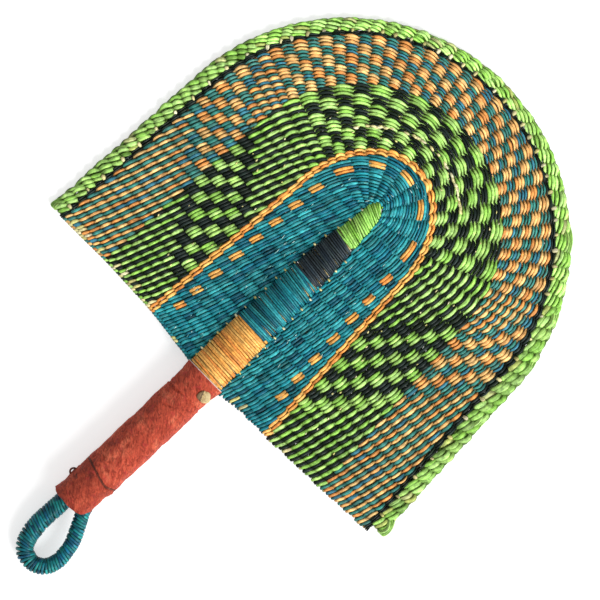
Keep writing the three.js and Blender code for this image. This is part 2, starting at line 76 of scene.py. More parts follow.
class Shade:
    """A value in a material: + - * on it add Math nodes, and node() adds any other node."""

    def __init__(self, tree, socket=None):
        self.tree = tree
        self.socket = socket

    def node(self, kind, sockets=None, out=0, **settings):
        made = self.tree.nodes.new("ShaderNode" + kind)
        for key, value in settings.items():
            setattr(made, key, value)
        for key, value in (sockets or {}).items():
            if isinstance(value, Shade):
                self.tree.links.new(value.socket, made.inputs[key])
            else:
                made.inputs[key].default_value = value
        return Shade(self.tree, made.outputs[out])

    def math(self, operation, first, second):
        return self.node("Math", {0: first, 1: second}, operation=operation)

    def __add__(self, other):
        return self.math("ADD", self, other)

    __radd__ = __add__

    def __sub__(self, other):
        return self.math("SUBTRACT", self, other)

    def __rsub__(self, other):
        return self.math("SUBTRACT", other, self)

    def __mul__(self, other):
        return self.math("MULTIPLY", self, other)

    def blend(self, share, first, second, blend_type="MIX"):
        """Mixes two colours by a share, or combines them in another of the Mix node's ways."""
        sockets = {0: share, 6: first, 7: second}
        return self.node("Mix", sockets, out=2, data_type="RGBA", blend_type=blend_type)

    def feed(self, socket):
        self.tree.links.new(self.socket, socket)


def new_finish(name):
    """An empty material, its Principled shader and a Shade to add its nodes with."""
    material = bpy.data.materials.new(name)
    material.use_nodes = True
    shader = material.node_tree.nodes["Principled BSDF"]
    return material, shader, Shade(material.node_tree)


def noise(on, scale, detail, **more):
    """Noise from 0 to 1 at a place, with about scale clouds to its unit."""
    sockets = {"Vector": on, "Scale": scale, "Detail": detail}
    return on.node("TexNoise", sockets | {key.title(): value for key, value in more.items()})


def ramp(value, places, colours):
    """A colour for a value, blended between linear colours at places from 0 to 1."""
    made = value.node("ValToRGB", {"Fac": value})
    stops = made.socket.node.color_ramp.elements
    stops.remove(stops[1])
    stops[0].position, stops[0].color = places[0], (*colours[0], 1)
    for at, colour in zip(places[1:], colours[1:]):
        stops.new(at).color = (*colour, 1)
    return made


def surface(shader, colour, roughness, height, distance, strength):
    """Feeds a shader its colour, its roughness and a relief whose height of 1 is distance metres."""
    colour.feed(shader.inputs["Base Color"])
    roughness.feed(shader.inputs["Roughness"])
    relief = height.node("Bump", {"Height": height, "Distance": distance, "Strength": strength})
    relief.feed(shader.inputs["Normal"])


def dyes(codes):
    """Colours written as six hexadecimal digits each, as linear red, green and blue."""
    digits = [[int(code[i : i + 2], 16) for i in (0, 2, 4)] for code in codes.split()]
    steps = np.array(digits) / 255
    return np.where(steps <= 0.04045, steps / 12.92, ((steps + 0.055) / 1.055) ** 2.4)


def stalk_finish(name, stretch, tones):
    """Bare stalk in three tones. stretch is how dense its long fibres are along each axis, per metre."""
    material, shader, draw = new_finish(name)
    on = draw.node("TexCoord", out="Object")
    fibres = noise(draw.node("Mapping", {"Vector": on, "Scale": stretch}), 1, 4, roughness=0.65)
    tones = dyes(tones)
    straw = ramp(fibres, (0.3, 0.5, 0.72), tones)
    stained = straw.blend(noise(on, 90, 2) * 0.5, straw, (*tones[0], 1))
    surface(shader, stained, 0.45 + fibres * 0.3, fibres, 0.0002, 0.6)
    return material


RIB_RADIUS = 0.75
AXIS_HEIGHT = 12.1
RIM_MIDDLE = 3.25
SPINE_SHOULDER = 146.0
SPINE_HALF_WIDTH = 14.0
RIB_ROOT = 2.5  # how deep a rib's root sits in the spine
RIM_REACH = (145.05, 150.25, 119.7)  # from the axis to the rim at left and right, and from the shoulder up

# Lines between bands: left foot, right foot, the cap's centre x and y, half its width and its height.
EDGES = {
    "spine": (SPINE_HALF_WIDTH, SPINE_HALF_WIDTH, 1.05, 141.7, 7.0, 15.0),
    "teal": (52.8, 52.6, 0.0, 128.0, 44.2, 59.3),
    "ring": (57.4, 57.3, 0.0, 128.0, 48.8, 63.9),
    "green": (99.8, 105.0, 0.7, 134.9, 93.9, 94.5),
    "orange": (137.5, 142.7, 0.4, 127.0, 131.3, 132.2),
    "black": (140.4, 145.6, 0.9, 125.3, 135.3, 136.1),
    "rim": (149.7, 154.9, 2.0, 124.0, 146.0, 146.0),
}

# The level ribs of the left side, then of the right: three distances from the axis, some ribs' numbers, and
# how high these ribs pass each distance.
RIB_HEIGHTS = [
    (
        (35, 60, 140),
        (0, 1, 2, 3, 6, 9, 12, 17),
        (2.9, 9.1, 15.6, 23.0, 47.5, 74.7, 98.7, 144.9),
        (6.0, 11.2, 17.4, 24.7, 48.1, 75.1, 99.0, 135.9),
        (5.8, 12.2, 19.3, 26.6, 49.8, 76.4, 99.8, 135.9),
    ),
    (
        (35, 90, 140),
        (0, 1, 2, 4, 6, 8, 10, 12, 14, 15),
        (6.8, 14.9, 22.8, 37.7, 55.3, 72.2, 90.0, 106.0, 123.5, 133.0),
        (8.6, 15.8, 24.0, 39.0, 55.9, 75.4, 94.3, 111.8, 127.8, 133.0),
        (11.7, 18.2, 26.0, 40.4, 56.3, 75.4, 94.3, 111.8, 127.8, 133.0),
    ),
]


def blade_height(x, y):
    """The blade's middle surface falls in straight lines from the spine's axis to the rim."""
    left, right, up = RIM_REACH
    reach = np.hypot(x / np.where(x < 0, left, right), np.maximum(0, y - SPINE_SHOULDER) / up)
    return AXIS_HEIGHT + (RIM_MIDDLE - AXIS_HEIGHT) * reach


def course_start(x):
    """How high the courses start over the foot: on the left it climbs steeply beside the handle and is level
    from there, on the right it hangs lowest at 68 mm. Below this line lies the row of their turned ends."""
    left = np.interp(-x, [14, 20, 33, 46, 59, 72, 91, 137], [-1.8, -1.2, 2.0, 2.2, 3.4, 4.4, 4.7, 4.0])
    return np.where(x < 0, left, np.interp(x, [32, 68, 139], [3.9, 2.9, 7.6]))


def spine_sides(y):
    """Half the bound spine's width and its middle: it tapers from the foot, and its narrow tip leans."""
    taper = SPINE_HALF_WIDTH - 6.0 * (np.maximum(y, 0) / SPINE_SHOULDER) ** 2
    tip = np.interp(y, [118, 124.8, 135.2, 141.7, 148.2, 153.4, 156.2], [10.1, 8.9, 7.6, 7.0, 6.5, 4.9, 2.0])
    return np.where(y < 118, taper, tip), np.interp(y, [118, 128, 156], [0.0, 0.9, 1.2])


def run_along(points):
    """The distance along a line, or along each of several, at each of its points."""
    steps = np.linalg.norm(np.diff(points, axis=-2), axis=-1)
    return np.insert(np.cumsum(steps, -1), 0, 0.0, axis=-1)


def edge_line(name, outward=0.0):
    """An edge in plan, moved outward: up the left leg, round the cap as half an ellipse, down the right leg.
    Returns its points and the distance along it at each."""
    left, right, middle_x, middle_y, half, crown = EDGES[name]
    left, right, half, crown = (size + outward for size in (left, right, half, crown))
    share = np.linspace(0, 1, 90, endpoint=False)
    turn = np.linspace(np.pi, 0, 241)
    sides = []
    for foot, shoulder in ((-left, middle_x - half), (right, middle_x + half)):
        start = course_start(foot)
        y = start + (middle_y - start) * share
        spine_half, spine_middle = spine_sides(y)
        along_spine = spine_middle + np.sign(foot) * (spine_half + outward)
        x = along_spine if name == "spine" else foot + (shoulder - foot) * share
        sides.append(np.stack([x, y], -1))
    cap = np.stack([middle_x + half * np.cos(turn), middle_y + crown * np.sin(turn)], -1)
    points = np.concatenate([sides[0], cap, sides[1][::-1]])
    return points, run_along(points)


def rib_rise(number, x):
    """How high a level rib passes x: straight lines between the heights at its side's three distances."""
    rises = []
    for (first, second, third), ribs, *heights in RIB_HEIGHTS:
        near, middle, far = (np.interp(number, ribs, height) for height in heights)
        inside = np.clip((np.abs(x) - first) / (second - first), 0, 1)
        outside = np.clip((np.abs(x) - second) / (third - second), 0, 1)
        rises.append(near + (middle - near) * inside + (far - middle) * outside)
    return np.where(x < 0, *rises)


def fan_angles(count, *angles):
    """Angles in degrees of a fan of spokes, spread evenly between the given ones."""
    return np.interp(np.linspace(0, 1, count), np.linspace(0, 1, len(angles)), angles)


ROUND_CAP = fan_angles(23, 177.5, 137.8, 93.3, 48.7, 3.0)
ROUND_CROWN = fan_angles(48, 179.2, 135.6, 89.6, 42.5, -3.2)
BANDS = {
    # courses, the edges that they lie between, level ribs on the left and right, spokes, the spokes' hub
    "teal": (16, "spine", "teal", 18, 16, fan_angles(9, 163, 125.5, 90, 52.7, 4), (0.0, 146.0)),
    "ring": (2, "teal", "ring", 17, 15, ROUND_CAP, (0.6, 134.7)),
    "green": (18, "ring", "green", 17, 15, ROUND_CAP, (1.3, 134.7)),
    "orange": (15, "green", "orange", 16, 13, ROUND_CROWN, (1.3, 126.6)),
    "black": (2, "orange", "black", 16, 13, ROUND_CROWN, (1.3, 126.6)),
}
SPINE_CLEARANCE = -0.5
FIRST_STROKE = 1.2
SHORTEST_STROKE = 3.0


def band_lines(band):
    """A band's inner and outer edge lines."""
    inner, outer = BANDS[band][1:3]
    return edge_line(inner, SPINE_CLEARANCE if inner == "spine" else 0.0), edge_line(outer)


def rib_crossings(line, band):
    """Distances along an edge at which a band's ribs cross it, from the left foot to the right foot."""
    left, right, angles, hub = BANDS[band][3:]
    points, run = line
    top = points[:, 1].argmax()
    crossings = []
    for count, side in ((left, slice(0, top)), (right, slice(None, top, -1))):
        x, y = points[side].T
        number = np.arange(count)[:, None]
        above = y[None] > rib_rise(number, x[None])
        at = np.abs(run[side][above.argmax(1)] - run[side][0])
        crossings.append(np.maximum(at, FIRST_STROKE + SHORTEST_STROKE * number[:, 0]))
    turn = np.degrees(np.arctan2(points[:, 1] - hub[1], points[:, 0] - hub[0]))
    turn = np.where(turn < -90, turn + 360, turn)
    round_cap = np.interp(-angles, -turn, run)
    return np.concatenate([crossings[0], round_cap, run[-1] - crossings[1][::-1]])


def on_line(line, distance):
    """Points of an edge at distances along it."""
    points, run = line
    return np.stack([np.interp(distance, run, points[:, i]) for i in (0, 1)], -1)


def add_object(name, data):
    made = bpy.data.objects.new(name, data)
    bpy.context.scene.collection.objects.link(made)
    return made


def put_piece(name, points, faces, finish, maps=None, dye=None):
    """Makes a piece from points in metres and blocks of faces, whose last axis counts a face's corners. maps
    has UV blocks to match, dye a linear colour for each face of each block."""
    mesh = bpy.data.meshes.new(name)
    corners = np.concatenate([block.ravel() for block in faces]).astype(np.int32)
    sizes = np.concatenate([np.full(block.size // block.shape[-1], block.shape[-1]) for block in faces])
    mesh.vertices.add(len(points))
    mesh.vertices.foreach_set("co", np.asarray(points, np.float32).ravel())
    mesh.loops.add(len(corners))
    mesh.loops.foreach_set("vertex_index", corners)
    mesh.polygons.add(len(sizes))
    mesh.polygons.foreach_set("loop_start", (np.cumsum(sizes) - sizes).astype(np.int32))
    mesh.update(calc_edges=True)
    mesh.shade_smooth()
    for key, blocks in (maps or {}).items():
        flat = np.concatenate([block.ravel() for block in blocks]).astype(np.float32)
        mesh.uv_layers.new(name=key).data.foreach_set("uv", flat)
    if dye is not None:
        colours = np.concatenate([block.reshape(-1, 3) for block in dye])
        colours = np.repeat(np.insert(colours, 3, 1.0, axis=1), sizes, axis=0)
        layer = mesh.color_attributes.new(name="dye", type="FLOAT_COLOR", domain="CORNER")
        layer.data.foreach_set("color", colours.astype(np.float32).ravel())
    mesh.materials.append(finish)
    made = add_object(name, mesh)
    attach(made, "root")
    return made


def unit(vectors):
    """Vectors made one long."""
    return vectors / np.linalg.norm(vectors, axis=-1, keepdims=True)


def joined(*coordinates):
    """Coordinates, broadcast to one shape, as points."""
    return np.stack(np.broadcast_arrays(*coordinates), -1)


def strip(low, high, first, last):
    """Corners of strands' walls, between the lines low and high, and of their two ends with a tip each."""
    walls = np.stack([low[:, :-1], high[:, :-1], high[:, 1:], low[:, 1:]], 3)
    first_end = np.stack([first, high[:, 0], low[:, 0]], 2)
    return walls, first_end, np.stack([last, low[:, -1], high[:, -1]], 2)


TIP_LENGTH = 0.6  # of a strand's half thickness
PATTERN_STEP = 7.3  # cm in the strand map from one strand to the next, so that no two look alike


def put_strands(name, centre, across, wide, thick, finish, dye=None, sides=6, stroke=1.0):
    """Closed strands through centre (..., station, 3) in millimetres. Each section is an ellipse that reaches
    wide along across, made square to the run, and thick along the third direction. Each strand is one strip
    of the bake map, the strand map runs in centimetres along it and once round it, and the stroke map tells
    how far a place is from where the strand dives."""
    shape = centre.shape[:-1]
    across = np.broadcast_to(across, centre.shape).reshape(-1, shape[-1], 3)
    centre = centre.reshape(across.shape)
    count, stations = centre.shape[:2]
    wide, thick, stroke = (np.broadcast_to(each, shape).reshape(count, -1) for each in (wide, thick, stroke))
    run = unit(np.gradient(centre, axis=1))
    side = unit(across - run * (across * run).sum(-1, keepdims=True))
    up = np.cross(run, side)
    angle = 2 * np.pi * np.arange(sides)[:, None] / sides
    rings = (
        centre[:, :, None]
        + side[:, :, None] * (wide[..., None, None] * np.cos(angle))
        + up[:, :, None] * (thick[..., None, None] * np.sin(angle))
    )
    first_tip = centre[:, 0] - run[:, 0] * thick[:, :1] * TIP_LENGTH
    last_tip = centre[:, -1] + run[:, -1] * thick[:, -1:] * TIP_LENGTH
    number = np.arange(count * stations * sides).reshape(count, stations, sides)
    tips = number.size + np.arange(2 * count).reshape(2, count, 1) + np.zeros(sides, int)
    faces = strip(number, np.roll(number, -1, axis=2), *tips)

    length = run_along(centre) / 10 + PATTERN_STEP * np.arange(count)[:, None]
    share = np.linspace(0.002, 0.998, stations)[None]
    turn = np.arange(sides + 1)[None] / sides
    rows = (np.arange(count)[:, None] + 0.08 + 0.84 * turn) / count
    maps = {}
    for key, along, row in (("strand", length, turn), ("stroke", stroke, turn), ("OFBake", share, rows)):
        along = np.broadcast_to(along, (count, stations))[:, :, None]
        lower, upper = (joined(along, part[:, None]) for part in (row[:, :-1], row[:, 1:]))
        middle = (lower + upper) / 2
        maps[key] = strip(lower, upper, middle[:, 0], middle[:, -1])

    if dye is not None:
        dye = np.broadcast_to(dye, (*shape[:-1], stations - 1, 3)).reshape(count, stations - 1, 1, 3)
        dye = np.repeat(dye, sides, axis=2)
        dye = [dye, dye[:, 0], dye[:, -1]]
    points = place(np.concatenate([rings.reshape(-1, 3), first_tip, last_tip]))
    return put_piece(name, points, faces, finish, maps, dye)


def raised(plan, height):
    """Plan points with their heights, or plan directions with a height of 0."""
    return np.concatenate([plan, np.broadcast_to(height, plan.shape[:-1])[..., None]], -1)


def lift(plan, above=0.0):
    """Plan points lifted to the blade's middle surface, or above it."""
    return raised(plan, blade_height(plan[..., 0], plan[..., 1]) + above)


def beside(outward):
    """Level directions square to outward ones, for strands that run outward."""
    return joined(-outward[:, 1], outward[:, 0], 0.0)[:, None]


def stalks_between(inner, outer):
    """Stalks from inner to outer plan points, each as four points on the middle surface."""
    share = np.array([0.0, 0.35, 0.68, 1.0])[None, :, None]
    return lift(inner[:, None] * (1 - share) + outer[:, None] * share)


stalks = []
for side in (-1, 1):
    # The level ribs of a side start inside the spine. The lower ones end at the black ring's outer edge, and
    # the last few at the green band's or the teal field's.
    start = 0
    for band in ("black", "green", "teal"):
        count = BANDS[band][3 if side < 0 else 4]
        number = np.arange(start, count)
        line = band_lines(band)[1]
        ends = on_line(line, rib_crossings(line, band)[::-side][number])
        x = side * (spine_sides(rib_rise(number, side * SPINE_HALF_WIDTH))[0] - RIB_ROOT)
        stalks.append(stalks_between(np.stack([x, rib_rise(number, x)], -1), ends))
        start = count
for band in ("teal", "green", "orange"):
    left, right = BANDS[band][3:5]
    feet, tops = (on_line(line, rib_crossings(line, band))[left:-right] for line in band_lines(band))
    stalks.append(stalks_between(feet, tops))
stalks = np.concatenate(stalks)
across = beside(stalks[:, -1, :2] - stalks[:, 0, :2])
# The ribs' stalks are coloured dark as painted shade: inside the weave they lie in shadow.
stalks_across = stalk_finish("painted_shade_stalks_across", (90, 1400, 1400), "2c2a1a 4a452a 6b6340")
rib_stalks = put_strands(
    "rib_stalks", stalks, across, RIB_RADIUS, RIB_RADIUS, stalks_across, sides=8
)
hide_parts(*[f"cross_rib_{i:02d}" for i in range(1, 19)])
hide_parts(*[f"tip_rib_{i:02d}" for i in range(1, 10)])
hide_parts(*[f"inserted_rib_{i:02d}" for i in range(1, 9)])


# Spine core
# The fan's backbone is a bundle of undyed stalks that tapers to the tip. Leather covers its lower end and
# grass is wound round the rest, so it shows only where the winding leaves a chink.

HANDLE_END = -129.7
HANDLE_LEAN = 2.2


def handle_middle(y):
    """The handle leans to the left towards its lower end."""
    return -HANDLE_LEAN * np.maximum(0, -y) / -HANDLE_END


undyed_stalks = stalk_finish("stalks_along_spine", (1400, 90, 1400), "8d7440 cdb877 eadfae")
core_y = np.concatenate([np.linspace(-114, -4, 12), np.linspace(-1, 153, 50)])
core_half, core_middle = spine_sides(core_y)
core_run = joined(core_middle + handle_middle(core_y), core_y, AXIS_HEIGHT)
core_wide = np.where(core_y < GRIP_TOP, 11.8, core_half - 1.9)
core_thick = np.where(core_y < GRIP_TOP, 10.2, core_half * 0.7 - 1.7)
spine_bundle = put_strands(
    "spine_bundle", core_run[None], (1, 0, 0), core_wide, core_thick, undyed_stalks, sides=32
)
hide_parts("spine_core")


# Twined courses
# Each course is a pair of dyed, twisted grass strands that cross between ribs, so that one lies over a rib
# while the other lies under it. Where the pair has two colours, the weaver's extra twists turn the stripes
# into checks three courses high.

OVER_RIB = 1.5  # how far a strand's middle rises over a rib
STRAND_HALF_THICKNESS = 0.8
STEPS_PER_RIB = 6
HANDS = np.array([1, -1])[:, None]  # a pair's two strands, which always lie opposite each other

LIME = dyes("b0e676 c0f08a 9eda60 b8e87c")
TEAL = dyes("1e8896 38a2aa 186e84 2b919c")
GOLD = dyes("f6ae56 fec46c ec984a fab862")
ORANGE = dyes("f6b870 ffd088 f0a258 fac47a")
BLACK = dyes("172520 212f2b 101e18 1c291d")
STRAW = dyes("ece4a8 dcd688 f4eec4 e0d898")


def grass_finish():
    """Twisted dyed grass. Its colour comes from the dye attribute. Fibres run slantwise along the strand map,
    some worn pale, the palest painted glints, and some dark where the dye pooled. A strand's flanks, pressed
    against its neighbours, get painted shade, more so near where it dives, which leaves each stroke pointed.
    The skin has a dull shine."""
    material, shader, draw = new_finish("dyed_grass")
    along = draw.node("UVMap", uv_map="strand")
    fibre_place = draw.node("Mapping", {"Vector": along, "Rotation": (0, 0, 0.12), "Scale": (2.2, 7, 1)})
    fibres = noise(fibre_place, 1, 3, roughness=0.6)
    blotches = noise(draw.node("Mapping", {"Vector": along, "Scale": (4.5, 1.5, 1)}), 1, 2)
    # The highest fibre tone, above white, paints glints.
    fibre_tones_and_glints = [(0.42, 0.42, 0.44), (0.98, 0.98, 0.98), (1.2, 1.18, 1.12), (1.9, 1.8, 1.6)]
    worn = ramp(fibres, (0.28, 0.48, 0.62, 0.78), fibre_tones_and_glints)
    pooled = ramp(blotches, (0.3, 0.6), [(0.68, 0.68, 0.7), (1.12, 1.12, 1.1)])
    turn = draw.node("SeparateXYZ", {"Vector": along}, out=1) * (2 * np.pi)
    sideways = turn.node("Math", {0: turn}, operation="COSINE")
    near_dive = 1 - draw.node("SeparateXYZ", {"Vector": draw.node("UVMap", uv_map="stroke")})
    # Painted shade darkens the flanks, most of all near where the strand dives.
    flank = sideways * sideways * (1 + near_dive * near_dive * 6)
    painted_flank_shade = draw.blend(flank * flank, (1, 1, 1, 1), (0.34, 0.34, 0.27, 1))
    colour = draw.node("Attribute", out="Color", attribute_name="dye")
    for tint in (worn, pooled, painted_flank_shade):
        colour = colour.blend(1.0, colour, tint, "MULTIPLY")
    shader.inputs["Specular IOR Level"].default_value = 0.25
    surface(shader, colour, 0.6 - fibres * 0.32, fibres, 0.0003, 0.8)
    return material


dyed_grass = grass_finish()


def twist_tone(choices, shape, generator, spread=0.13):
    """A dye for each stroke: one of the choices, a little lighter or darker."""
    picked = choices[generator.integers(0, len(choices), shape)]
    return picked * np.clip(1 + spread * generator.standard_normal(shape), 0.4, 1.7)[..., None]


def ribs_in(band):
    left, right, angles = BANDS[band][3:6]
    return left + right + len(angles)


def between(inner, outer, share):
    """Points at a share of the way from inner to outer plan points, the direction there and the distance."""
    outward = outer - inner
    width = np.linalg.norm(outward, axis=-1)
    return inner + np.asarray(share)[..., None] * outward, outward / width[..., None], width


def band_place(band, share, s):
    """Plan points at a share of a band's width and at places s along it, counted in ribs from the left foot,
    with the outward direction and the band's width there."""
    knots = np.concatenate([[-0.5], np.arange(ribs_in(band)), [ribs_in(band) - 0.5]])
    ends = []
    for line in band_lines(band):
        distance = np.concatenate([[0], rib_crossings(line, band), [line[1][-1]]])
        ends.append(on_line(line, np.interp(s, knots, distance)))
    return between(*ends, share)


def whole(s, count):
    """Which rib or group each place belongs to."""
    return np.clip(np.floor(s).astype(int), 0, count - 1)


def painted_dive_shade(wave, depth):
    """Painted shade where a strand dives under its neighbours: its stroke is lighter in the middle and darker
    at both ends.
    """
    return 1.03 - depth + depth * np.abs(wave) ** 0.8


band_faces = {}  # the colours of each band's front and back (course, rib, 3)


def twined_courses(
    name, band, seed, tight=1.0, depth=0.5, bows=(0.1, 0.45, 0.15), pale=(0.1, 1, 1, 0.5, 0.2)
):
    """A band's courses. At place s, counted in ribs, a strand's height is cos(pi s) and its sideways shift
    -sin(pi s), so that it leans inward as it crosses the front of a rib. The pair also bows outward over the
    rib by the bows of the left leg, cap and right leg. Where pale is above 0 the light grass is thicker than
    the dark: at the left foot, on the cap, at the right shoulder, on the right leg and at its foot."""
    generator = np.random.default_rng(seed)
    front, back = band_faces[band]
    rows, _, _, left, right = BANDS[band][:5]
    ribs = ribs_in(band)
    s = -0.5 + np.arange(ribs * STEPS_PER_RIB + 1) / STEPS_PER_RIB
    inner, outward, width = band_place(band, 0.0, s)
    pitch = width / rows
    landmarks = [left - 2, left + 3, ribs - right - 4, ribs - right + 1, ribs - 6, ribs - 1]
    slant = tight * np.interp(s, landmarks, [0.46, 0.36, 0.36, 0.33, 0.33, 0.54])
    bow = np.interp(s, landmarks, np.repeat(bows, [1, 2, 3]))

    rib = whole(s + 0.5, ribs)
    wave = np.cos(np.pi * s)
    crest = np.abs(wave)
    over = np.sign(wave) * crest**0.8
    lean = 0.3 * np.sin(np.pi * s) + 1.4 * np.arcsin(np.sin(np.pi * s)) / np.pi
    loose = generator.standard_normal((3, rows, 2, ribs))[..., rib] * crest
    shift = (bow * (crest - 0.6) - HANDS * lean * slant + loose[0] * 0.09) * pitch
    contrast = np.sign(np.round(front.max(-1) - back.max(-1), 1))[:, None, rib]
    lighter = contrast * HANDS * np.where(rib % 2, -1, 1)
    lighter = lighter * np.interp(s, landmarks, np.repeat(pale, [1, 2, 1, 1, 1]))
    height = HANDS * over * (OVER_RIB + loose[1] * 0.12) + 0.28 * lighter
    offset = (np.arange(rows)[:, None, None] + 0.5) * pitch + shift
    centre = lift(inner + offset[..., None] * outward, height)
    edge_wide = np.maximum(0.5 - 0.24 * depth, slant + 0.02)
    wide = pitch * (edge_wide + (0.5 - edge_wide) * crest**0.7)
    wide = wide * (1 + 0.09 * loose[2] + 0.12 * lighter)
    thick = STRAND_HALF_THICKNESS * (0.85 + 0.15 * crest)
    far_from_dive = 1 - 2 * depth * (1 - crest)

    middle = (s[:-1] + s[1:]) / 2
    stroke = whole(middle + 0.5, ribs)
    on_front = (HANDS * np.where(stroke % 2, -1, 1) > 0)[..., None]
    dye = np.where(on_front, front[:, None, stroke], back[:, None, stroke])
    # Painted light makes the strokes lighter round the cap, and painted shade darkens each stroke's ends.
    painted_crown_light = np.interp(middle, landmarks, [1.14, 1.36, 1.34, 1.14, 1.14, 1.06])
    dye = dye * (painted_crown_light * painted_dive_shade(np.cos(np.pi * middle), depth))[:, None]
    across = raised(outward, 0.0)
    return put_strands(name, centre, across, wide, thick, dyed_grass, dye, stroke=far_from_dive)


LEVEL = 3  # courses
CHECKS_IN_RUN = 7
LEFT_RUN = 14  # the rib, counted from the foot, where the outermost level's run of checks starts on the left


def two_tone(band, first_row, light, dark, right_run, cap_from, seed):
    """Colours of a band of two-coloured courses, counted from the outside. Stripes alternate from rib to rib
    and from course to course. A run of checks starts one rib nearer to the foot in each level further in. On
    the right the first number of right_run stands for LEFT_RUN, and the second is how many more checks come
    before the run. Checks fill the cap from the given rib on the left to the given one on the right. At the
    left foot some strokes are worn pale."""
    generator = np.random.default_rng(seed)
    rows, ribs, left = BANDS[band][0], ribs_in(band), BANDS[band][3]
    rib = np.arange(ribs)[None]
    half = np.minimum(rib, ribs - 1 - rib)
    row = (first_row + rows - 1 - np.arange(rows))[:, None]
    level = row // LEVEL
    on_right = rib > ribs // 2
    start = np.where(on_right, right_run[0], LEFT_RUN) - level
    stripe = (half + row) % 2 == 0
    run_check = (half - start) % 2 == 1
    cap_check = (rib - left + level) % 2 == 0
    in_run = (half >= start - on_right * right_run[1]) & (half < start + CHECKS_IN_RUN)
    is_light = np.where(in_run, run_check, stripe)
    in_cap = (rib >= cap_from[0]) & (rib < ribs - cap_from[1])
    is_light = np.where(in_cap, cap_check, is_light)[..., None]
    lights = twist_tone(light, (2, rows, ribs), generator)
    darks = twist_tone(dark, (2, rows, ribs), generator)
    worn = generator.random(rows) < 0.3
    lights[:, worn, 0] = darks[:, worn, 0] = twist_tone(STRAW, (2, worn.sum()), generator)
    return np.where(is_light, lights[0], darks[0]), np.where(is_light, darks[1], lights[1])


def one_tone(band, choices, seed, spread=0.12):
    """Colours of a band of plain courses."""
    generator = np.random.default_rng(seed)
    return twist_tone(choices, (2, BANDS[band][0], ribs_in(band)), generator, spread)


# Teal field
# The middle of the blade is sixteen courses of teal grass round the spine, with a row of orange marks, two
# courses wide, on every other rib.

band_faces["teal"] = one_tone("teal", TEAL, 11, 0.22)
marked = np.concatenate([np.arange(2, 25, 2), np.arange(26, ribs_in("teal") - 1, 2)])
for course in (12, 13):
    band_faces["teal"][0, course, marked] = twist_tone(GOLD, len(marked), np.random.default_rng(course))
teal_field = twined_courses("teal_field", "teal", 13, depth=0.2, bows=(0.1, 0.05, 0.1))
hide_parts("weft_teal_field")


# Orange ring
# Two courses of orange grass divide the teal field from the green and black band. They were pulled tighter
# than the rest, so their strokes lie almost along the ring.

band_faces["ring"] = one_tone("ring", GOLD * 1.2, 21)
orange_ring = twined_courses("orange_ring", "ring", 22, tight=0.5, depth=0.32)
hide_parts("weft_orange_ring")


# Green and black band
# Eighteen courses, each of one lime strand and one black strand, in six levels of three, are twined on the
# finer ribs outside the orange ring.

band_faces["green"] = two_tone("green", 15, LIME, BLACK, (14, 1), (20, 18), 31)
green_black = twined_courses("green_black_band", "green", 33, pale=(0.1, 1, -0.3, 0.4, 0.2))
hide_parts("weft_green_black_band")


# Orange and teal band
# Fifteen courses of orange and teal pairs in five levels of three. They follow the same steps of stripes and
# checks as the green and black band inside them.

DEEP_TEAL = dyes("428e86 3f849a 3a887e 4a8a82")
band_faces["orange"] = two_tone("orange", 0, ORANGE, DEEP_TEAL, (13, 0), (22, 21), 41)
orange_pale = (-0.2, 1, 0.3, -0.2, -0.3)
orange_teal = twined_courses("orange_teal_band", "orange", 42, pale=orange_pale)
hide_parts("weft_orange_teal_band")


# Black ring
# Two courses of black grass are twined tightly round the last band. They hold the ribs
# in place in front of the rim.

band_faces["black"] = one_tone("black", BLACK, 51, 0.25)
black_ring = twined_courses("black_ring", "black", 52, tight=0.7)
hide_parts("weft_black_ring")


# Turned ends
# At the foot both strands of each course turn round once more and are tucked in. The ends are very short on
# the left and as long as half a stroke on the right, and some of them are worn pale.

end_random = np.random.default_rng(55)
down = np.linspace(0, 1, 8)
# Painted shade darkens both ends of each turned end, where it dives.
painted_end_shade = painted_dive_shade(np.sin(np.pi * (down[:-1] + down[1:]) / 2), 0.4)[:, None]
end_runs, end_dyes, end_widths = [], [], []
for band, colours in band_faces.items():
    rows = BANDS[band][0]
    for side, at in ((0, -0.5), (1, ribs_in(band) - 0.5)):
        middle, out, width = band_place(band, (np.arange(rows) + 0.5) / rows, np.full(rows, at))
        pitch = width[:, None] / rows
        depth = np.interp(middle[:, 0], [-15, 14, 35], [1.1, 8.0, 5.5]) * end_random.uniform(0.9, 1.15, rows)
        fall = 0.4 - (depth[:, None] + 0.4) * down
        for face, upright in ((0, 1), (1, -1)):
            # The end dives under the last stroke above it, comes over the edge rib and is tucked under again.
            swing = (2 * side - 1) * upright * 0.42 * pitch * np.cos(np.pi * down)
            plan = middle[:, None] + out[:, None] * swing[..., None] + joined(0.0, fall)
            end_runs.append(lift(plan, upright * (1.5 * np.sin(np.pi * (0.1 + 0.8 * down)) ** 0.7 - 0.75)))
            end_widths.append(pitch * (0.34 + 0.14 * np.sin(np.pi * down)))
            end_dye = colours[1 - face][:, -side].copy()
            worn = end_random.random(rows) < 0.09
            end_dye[worn] = twist_tone(STRAW, worn.sum(), end_random)
            end_dyes.append(end_dye[:, None] * painted_end_shade)
end_runs, end_dyes, end_widths = (np.concatenate(parts) for parts in (end_runs, end_dyes, end_widths))
put_strands("turned_ends", end_runs, (1, 0, 0), end_widths, 0.75, dyed_grass, end_dyes, 8)


# Plaited rim
# The ribs' ends are bent over and plaited with lime grass into a thick border: three strands side by side up
# each leg, four round the crown. Its groups slant and step along the edge, which leaves it scalloped.

RIM_STEPS = 9
rim_lines = edge_line("black", -0.1), edge_line("rim", -1.3)
rim_length = rim_lines[1][1][-1]
rim_random = np.random.default_rng(61)


def rim_point(share, along):
    """Plan points at a share of the rim's width and a share of its length, the outward direction there and
    the rim's width."""
    return between(*(on_line(line, along * line[1][-1]) for line in rim_lines), share)


